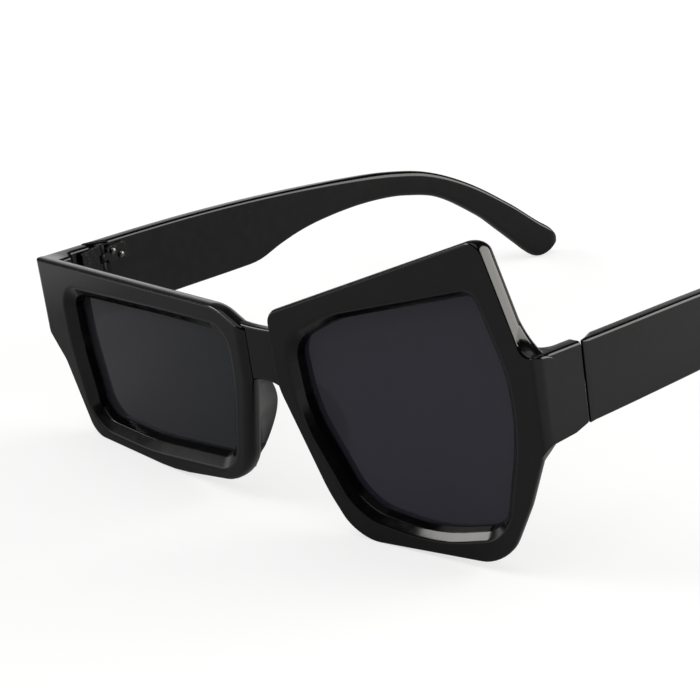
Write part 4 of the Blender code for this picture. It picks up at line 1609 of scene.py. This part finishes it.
def plate(
    name: str, side: Side, low: tuple[float, float, float], high: tuple[float, float, float],
    corner: float, edge: float = SOFT_EDGE,
) -> Shell:
    """A flat plate with round corners and softened edges.

    Args:
        name: Name of the new object.
        side: The side that it belongs to; the small side is mirrored.
        low: Its lowest corner for the large side.
        high: Its highest corner for the large side.
        corner: Rounding of the corners seen along X.
        edge: Softening of all edges.

    Returns:
        The closed shell.
    """
    skin = Skin()
    made = bmesh.ops.create_cube(skin.work, size=1.0)
    size = Vector(high) - Vector(low)
    middle = (Vector(high) + Vector(low)) / 2
    bmesh.ops.scale(skin.work, vec=size, verts=made["verts"])
    middle.x *= side.value
    bmesh.ops.translate(skin.work, vec=middle, verts=made["verts"])
    upright = [e for e in skin.work.edges if abs(e.verts[0].co.x - e.verts[1].co.x) > size.x / 2]
    if corner > edge:
        skin.soften(upright, corner, 6)
    flat = [f for f in skin.work.faces if abs(f.normal.x) > FACING]
    skin.soften(list({e for f in flat for e in f.edges}), edge, 2)
    return skin.closed(name)


@dataclass
class Hinge:
    """A three-knuckle hinge: a half sunk in the endpiece, a half riveted to the temple, screw and rivets."""

    side: Side
    barrel: float = 1.1
    barrel_edge: float = 0.3
    web_share: float = 0.62
    web_edge: float = 0.05
    lower: float = 2.7
    middle: float = 1.8
    upper: float = 2.1
    gap: float = 0.12
    leaf: float = 0.9
    leaf_gap: float = 0.25
    front_leaf_length: float = 3.6
    anchor_length: float = 2.0
    anchor_depth: float = 1.5
    anchor_margin: float = 0.9
    anchor_round: float = 0.15
    temple_leaf_length: float = 5.8
    leaf_margin: float = 0.4
    leaf_foot: float = 1.8
    leaf_top: float = 5.7
    leaf_round: float = 0.8
    screw: float = 0.45
    screw_bevel: float = 0.15
    clearance: float = 0.08
    head: float = 0.7
    head_height: float = 0.5
    head_bevel: float = 0.10
    head_soft: float = 0.03
    head_foot: Span = (0.04, 0.05)
    seat_depth: float = 0.6
    slot_width: float = 0.25
    slot_depth: float = 0.2
    slot_reach: float = 2.0
    slot_overrun: float = 1.0
    slot_edge: float = 0.01
    rivet: float = 0.4
    rivet_head: float = 0.8
    rivet_head_height: float = 0.4
    rivet_bite: float = 1.5
    rivet_room: float = 0.2
    rivet_steps: int = 40
    dome_degrees: tuple[int, ...] = (0, 15, 30, 45, 60, 72, 83)
    rivet_shares: tuple[tuple[str, float, float], ...] = (("upper", 0.28, 0.70), ("lower", 0.68, 0.31))

    def spans(self) -> tuple[Span, ...]:
        """Places of the three knuckles along the axis.

        Returns:
            Low and high end of each, from the lowest up.
        """
        second = self.lower + self.gap
        third = second + self.middle + self.gap
        return (0.0, self.lower), (second, second + self.middle), (third, third + self.upper)

    def outer(self, thickness: float) -> float:
        """Distance from the axis out to the face of a leaf on a wall of this thickness."""
        return FACE.hinge_inboard + FACE.temple_thickness - thickness - self.leaf_gap

    def knuckle(self, name: str, span: Span, seat: float = 0.0) -> Shell:
        """One knuckle with its bore.

        Args:
            name: Name of the new object.
            span: Low and high end along the axis.
            seat: Depth of the seat of the screw head, sunk in the high end.

        Returns:
            The closed shell.
        """
        edge, soft = SOFT_EDGE, SOFT_EDGE * self.barrel_edge
        bore = self.screw + self.clearance
        wide = self.head + self.clearance if seat else bore
        return turned(name, (
            (bore, span[0]), (self.barrel - edge, span[0]), (self.barrel - soft, span[0] + soft),
            (self.barrel, span[0] + edge), (self.barrel, span[1] - edge),
            (self.barrel - soft, span[1] - soft), (self.barrel - edge, span[1]), (wide, span[1]),
            *(((wide, span[1] - seat), (bore, span[1] - seat)) if seat else ()),
        ))

    def front_half(self, name: str) -> Shell:
        """Build the two knuckles, their leaf and the block sunk in the endpiece.

        Args:
            name: Name of the new object.

        Returns:
            The closed shell.
        """
        low, _, high = self.spans()
        outer = self.outer(FACE.endpiece_thickness)
        inner = outer - self.leaf
        base = self.knuckle(name, low)
        back = -FACE.hinge_set_back
        middle = back - self.front_leaf_length / 2
        half = self.anchor_length / 2
        block = (
            (outer - self.leaf / 2, middle - half, self.anchor_margin),
            (outer + self.leaf_gap + self.anchor_depth, middle + half, high[1] - self.anchor_margin),
        )
        front = -self.barrel * self.web_share
        others = [
            self.knuckle("upper_knuckle", high, self.seat_depth),
            plate("low_web", self.side, (inner, back, low[0]), (outer, front, low[1]), 0.0, self.web_edge),
            plate("high_web", self.side, (inner, back, high[0]), (outer, front, high[1]), 0.0, self.web_edge),
            plate("front_leaf", self.side, (inner, back - self.front_leaf_length, low[0]),
                  (outer, -self.barrel - self.gap, high[1]), self.leaf_round),
            plate("anchor", self.side, *block, self.anchor_round),
        ]
        return united(base, others)

    def leaf_span(self) -> Span:
        """Start and end of the temple leaf behind the axis."""
        start = self.barrel + self.leaf_margin
        return start, start + self.temple_leaf_length

    def temple_half(self, name: str) -> Shell:
        """Build the middle knuckle and the riveted leaf.

        Args:
            name: Name of the new object.

        Returns:
            The closed shell.
        """
        _, middle, _ = self.spans()
        outer = self.outer(FACE.temple_thickness)
        inner = outer - self.leaf
        start, end = self.leaf_span()
        base = self.knuckle(name, middle)
        others = [
            plate("temple_web", self.side, (inner, self.barrel * self.web_share, middle[0]),
                  (outer, start + self.leaf_round, middle[1]), 0.0, self.web_edge),
            plate("temple_leaf", self.side, (inner, start, self.leaf_foot), (outer, end, self.leaf_top),
                  self.leaf_round),
        ]
        return united(base, others)

    def screw_shell(self, name: str) -> Shell:
        """Build the screw with its slotted head.

        Args:
            name: Name of the new object.

        Returns:
            The closed shell.
        """
        low, _, high = self.spans()
        foot = low[0] + self.screw_bevel
        top = high[1]
        under = top - self.head_height
        screw = turned(name, (
            (0.0, foot), (self.screw - self.screw_bevel, foot), (self.screw, foot + self.screw_bevel),
            (self.screw, under), (self.head - self.head_foot[0], under),
            (self.head, under + self.head_foot[1]), (self.head, top - self.head_bevel),
            (self.head - self.head_soft, top - self.head_soft), (self.head - self.head_bevel, top),
            (0.0, top),
        ))
        low_end = (-self.slot_reach, -self.slot_width / 2, top - self.slot_depth)
        high_end = (self.slot_reach, self.slot_width / 2, top + self.slot_overrun)
        slot = plate("slot", Side.LARGE, low_end, high_end, 0.0, self.slot_edge)
        return united(screw, [slot], "DIFFERENCE")

    def rivet_shell(self, name: str, along: float, up: float) -> Shell:
        """Build one rivet with its domed head, turned outboard.

        Args:
            name: Name of the new object.
            along: Share of the leaf's length at which it sits.
            up: Share of the leaf's height.

        Returns:
            The closed shell.
        """
        head = self.outer(FACE.temple_thickness) - self.leaf - self.rivet_room
        end_height = FACE.hinge_inboard + self.rivet_bite
        dome = []
        for degrees in self.dome_degrees:
            angle = math.radians(degrees)
            dome.append((self.rivet_head * math.sin(angle), head - self.rivet_head_height * math.cos(angle)))
        shank = ((self.rivet_head, head), (self.rivet, head), (self.rivet, end_height), (0.0, end_height))
        item = turned(name, (*dome, *shank), self.rivet_steps)
        start, end = self.leaf_span()
        rise = self.leaf_foot + (self.leaf_top - self.leaf_foot) * up
        spot = Vector((0.0, start + (end - start) * along, rise))
        item.data.transform(Matrix.Translation(spot) @ Matrix.Rotation(self.side.value * math.pi / 2, 4, "Y"))
        return item

    def dress(self, bench: Workbench, metal: Finish, steel: Finish) -> None:
        """Build the hinge and hang its halves on their bodies.

        Args:
            bench: Places and finishes the pieces.
            metal: Finish of both halves.
            steel: Finish of the screw and the rivets.
        """
        wearer = self.side.wearer
        local = FACE.hinge_matrix(self.side)
        bench.settle(self.front_half(f"{wearer}_front_hinge_half"), metal, "front",
                     (f"front_hinge_{wearer}",), local)
        bench.settle(self.temple_half(f"{wearer}_temple_hinge_half"), metal,
                     self.side.body, (f"temple_hinge_{wearer}",), local)
        bench.settle(self.screw_shell(f"{wearer}_slotted_screw"), steel, "front",
                     (f"hinge_screw_{wearer}",), local)
        for label, along, up in self.rivet_shares:
            bench.settle(self.rivet_shell(f"{wearer}_{label}_dome_rivet", along, up), steel,
                         self.side.body, (f"rivet_{label}_{wearer}",), local)


# The studio


@dataclass(frozen=True)
class Softbox:
    """One area lamp, placed by its direction from the middle of the glasses."""

    name: str
    direction: tuple[float, float, float]
    distance: float
    width: float
    height: float
    radiance: float
    tint: Colour = (1.0, 1.0, 1.0)

    def build(self, aim: Vector) -> None:
        """Hang the lamp and turn it to the glasses.

        Args:
            aim: The point that it faces.
        """
        data = bpy.data.lights.new(self.name, "AREA")
        data.shape = "RECTANGLE"
        data.size = self.width
        data.size_y = self.height
        data.energy = self.radiance * math.pi * self.width * self.height
        data.color = self.tint
        lamp = bpy.data.objects.new(self.name, data)
        bpy.context.scene.collection.objects.link(lamp)
        way = Vector(self.direction).normalized()
        lamp.location = aim + way * self.distance
        lamp.rotation_euler = way.to_track_quat("Z", "Y").to_euler()


def seen_straight(tree: Tree, path: Node) -> Socket:
    """1 for rays that come from the camera or through a lens, by a light path node."""
    return summed(tree, path.outputs["Is Camera Ray"], path.outputs["Is Transmission Ray"], "MAXIMUM")


@dataclass
class Studio:
    """Pale floor, white surroundings, soft lamps and the camera of the photograph."""

    eye: tuple[float, float, float] = (479.608, -446.280, 196.865)
    right: tuple[float, float, float] = (0.71833165, 0.69213689, -0.070329)
    up: tuple[float, float, float] = (-0.14925426, 0.25205699, 0.95613307)
    lens: float = 170.9
    sensor: float = 36.0
    clip: Span = (0.01, 50.0)
    aim: tuple[float, float, float] = (0.0, -0.05, 0.035)
    floor_size: float = 12.0
    floor_colour: float = 0.38
    floor_glow: float = 0.67
    far_glow: float = 0.86
    glow_span: Span = (0.7, 3.2)
    # Bands of floor glow that only reflections see: painted reflection on the glasses.
    right_span: Span = (0.10, 0.15)
    right_share: float = 0.27
    left_span: Span = (-0.12, -0.147)
    left_share: float = 0.60
    room_height: tuple[Span, Span] = ((0.10, 0.24), (1.05, 0.16))
    room_left: tuple[Span, Span] = ((-0.25, -0.75), (0.04, 1.0))
    room_top: tuple[Span, Span] = ((0.75, 0.95), (0.0, 0.35))
    fill: float = 0.42
    softboxes: tuple[Softbox, ...] = (
        Softbox("back_right_box", (0.615, 0.733, 0.292), 1.3, 1.0, 0.85, 5.0, (1.0, 0.975, 0.93)),
        Softbox("front_left_strip", (-0.672, -0.532, 0.515), 1.3, 0.66, 0.40, 7.0, (1.0, 0.985, 0.955)),
        Softbox("overhead_box", (0.05, -0.10, 1.0), 1.6, 1.5, 1.5, 0.75),
    )

    def camera(self, rest: Matrix) -> None:
        """Set the camera where the photograph was taken from.

        Args:
            rest: Where the frame of the glasses stands.
        """
        turn = rest.to_3x3().normalized()
        right = (turn @ Vector(self.right)).normalized()
        back = right.cross(turn @ Vector(self.up)).normalized()
        up = back.cross(right)
        data = bpy.data.cameras.new("photo_camera")
        data.lens = self.lens
        data.sensor_width = self.sensor
        data.clip_start, data.clip_end = self.clip
        item = bpy.data.objects.new("photo_camera", data)
        bpy.context.scene.collection.objects.link(item)
        item.matrix_world = Matrix.Translation(rest @ Vector(self.eye)) @ Matrix(
            (right, up, back)).transposed().to_4x4()
        bpy.context.scene.camera = item

    def floor(self) -> None:
        """Lay the pale floor; what the camera sees of it glows up to white and keeps the shadows. In
        reflections it glows only in a band on each side, a painted reflection on the glasses.
        """
        skin = Skin()
        bmesh.ops.create_grid(skin.work, x_segments=1, y_segments=1, size=self.floor_size)
        mesh = bpy.data.meshes.new("pale_floor")
        skin.work.to_mesh(mesh)
        skin.work.free()
        item = bpy.data.objects.new("pale_floor", mesh)
        bpy.context.scene.collection.objects.link(item)
        stuff = bpy.data.materials.new("pale_floor")
        stuff.use_nodes = True
        tree = stuff.node_tree
        tree.nodes.clear()
        paint = tree.nodes.new("ShaderNodeBsdfDiffuse")
        paint.inputs["Color"].default_value = (*[self.floor_colour] * 3, 1.0)
        glow = tree.nodes.new("ShaderNodeEmission")
        spots = object_spots(tree)
        across = split_axes(tree, spots)["X"]
        # Glossy rays see the floor glow only in a band at each side: a painted reflection on the glasses.
        right = mapped(tree, across, self.right_span, (0.0, self.right_share))
        left = mapped(tree, across, self.left_span, (0.0, self.left_share))
        path = tree.nodes.new("ShaderNodeLightPath")
        dim = summed(tree, path.outputs["Is Glossy Ray"], summed(tree, right, left), "MULTIPLY")
        seen = summed(tree, seen_straight(tree, path), dim, "MAXIMUM")
        way = tree.nodes.new("ShaderNodeVectorMath")
        way.operation = "LENGTH"
        tree.links.new(spots, way.inputs[0])
        bright = mapped(tree, way.outputs["Value"], self.glow_span, (self.floor_glow, self.far_glow))
        tree.links.new(summed(tree, seen, bright, "MULTIPLY"), glow.inputs["Strength"])
        both = tree.nodes.new("ShaderNodeAddShader")
        tree.links.new(paint.outputs[0], both.inputs[0])
        tree.links.new(glow.outputs[0], both.inputs[1])
        out = tree.nodes.new("ShaderNodeOutputMaterial")
        tree.links.new(both.outputs[0], out.inputs["Surface"])
        mesh.materials.append(stuff)

    def surroundings(self) -> None:
        """White for the camera; a dim, graded room for reflections; a soft fill for everything else."""
        world = bpy.data.worlds.new("white_studio")
        bpy.context.scene.world = world
        world.use_nodes = True
        tree = world.node_tree
        shade = tree.nodes["Background"]
        shade.inputs["Color"].default_value = (1.0, 1.0, 1.0, 1.0)
        path = tree.nodes.new("ShaderNodeLightPath")
        way = split_axes(tree, tree.nodes.new("ShaderNodeTexCoord").outputs["Generated"])
        band = mapped(tree, way["Z"], *self.room_height)
        leftward = mapped(tree, way["X"], *self.room_left)
        high = mapped(tree, way["Z"], *self.room_top)
        room = summed(tree, summed(tree, band, leftward, "MULTIPLY"), high)
        fill = mapped(tree, path.outputs["Is Glossy Ray"], to=(self.fill, 0.0))
        dim = summed(tree, path.outputs["Is Glossy Ray"], room, "MULTIPLY")
        level = summed(tree, summed(tree, fill, dim), seen_straight(tree, path), "MAXIMUM")
        tree.links.new(level, shade.inputs["Strength"])

    def build(self, rest: Matrix) -> None:
        """Build the whole studio.

        Args:
            rest: Where the frame of the glasses stands.
        """
        scene = bpy.context.scene
        scene.view_settings.view_transform = "Standard"
        self.camera(rest)
        self.floor()
        self.surroundings()
        for box in self.softboxes:
            box.build(Vector(self.aim))


def main() -> None:
    """Build, dress and light the glasses, in order."""
    logging.basicConfig(level=logging.INFO, format="%(message)s")
    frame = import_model()
    rest = resting_matrix(frame["joints"])
    bench = Workbench(rest)
    marks = SurfaceMarks()
    plastic = GlossBlackPlastic().build(marks)
    # The same plastic with a weak shine, for the walls inside the openings: painted shade in the recesses.
    wall_shade = GlossBlackPlastic(name="painted_shade_black_wall", shine=0.12).build(marks)
    tints = {side: tint.build(marks) for side, tint in TINTS.items()}
    metal = BlackenedHinge().build(marks)
    steel = TurnedSteel().build(marks)
    MouldedFront().dress(bench, plastic, wall_shade, tints)
    for side in Side:
        Temple(side).dress(bench, plastic)
        Hinge(side).dress(bench, metal, steel)
    Studio().build(rest)


if __name__ == "__main__":
    main()
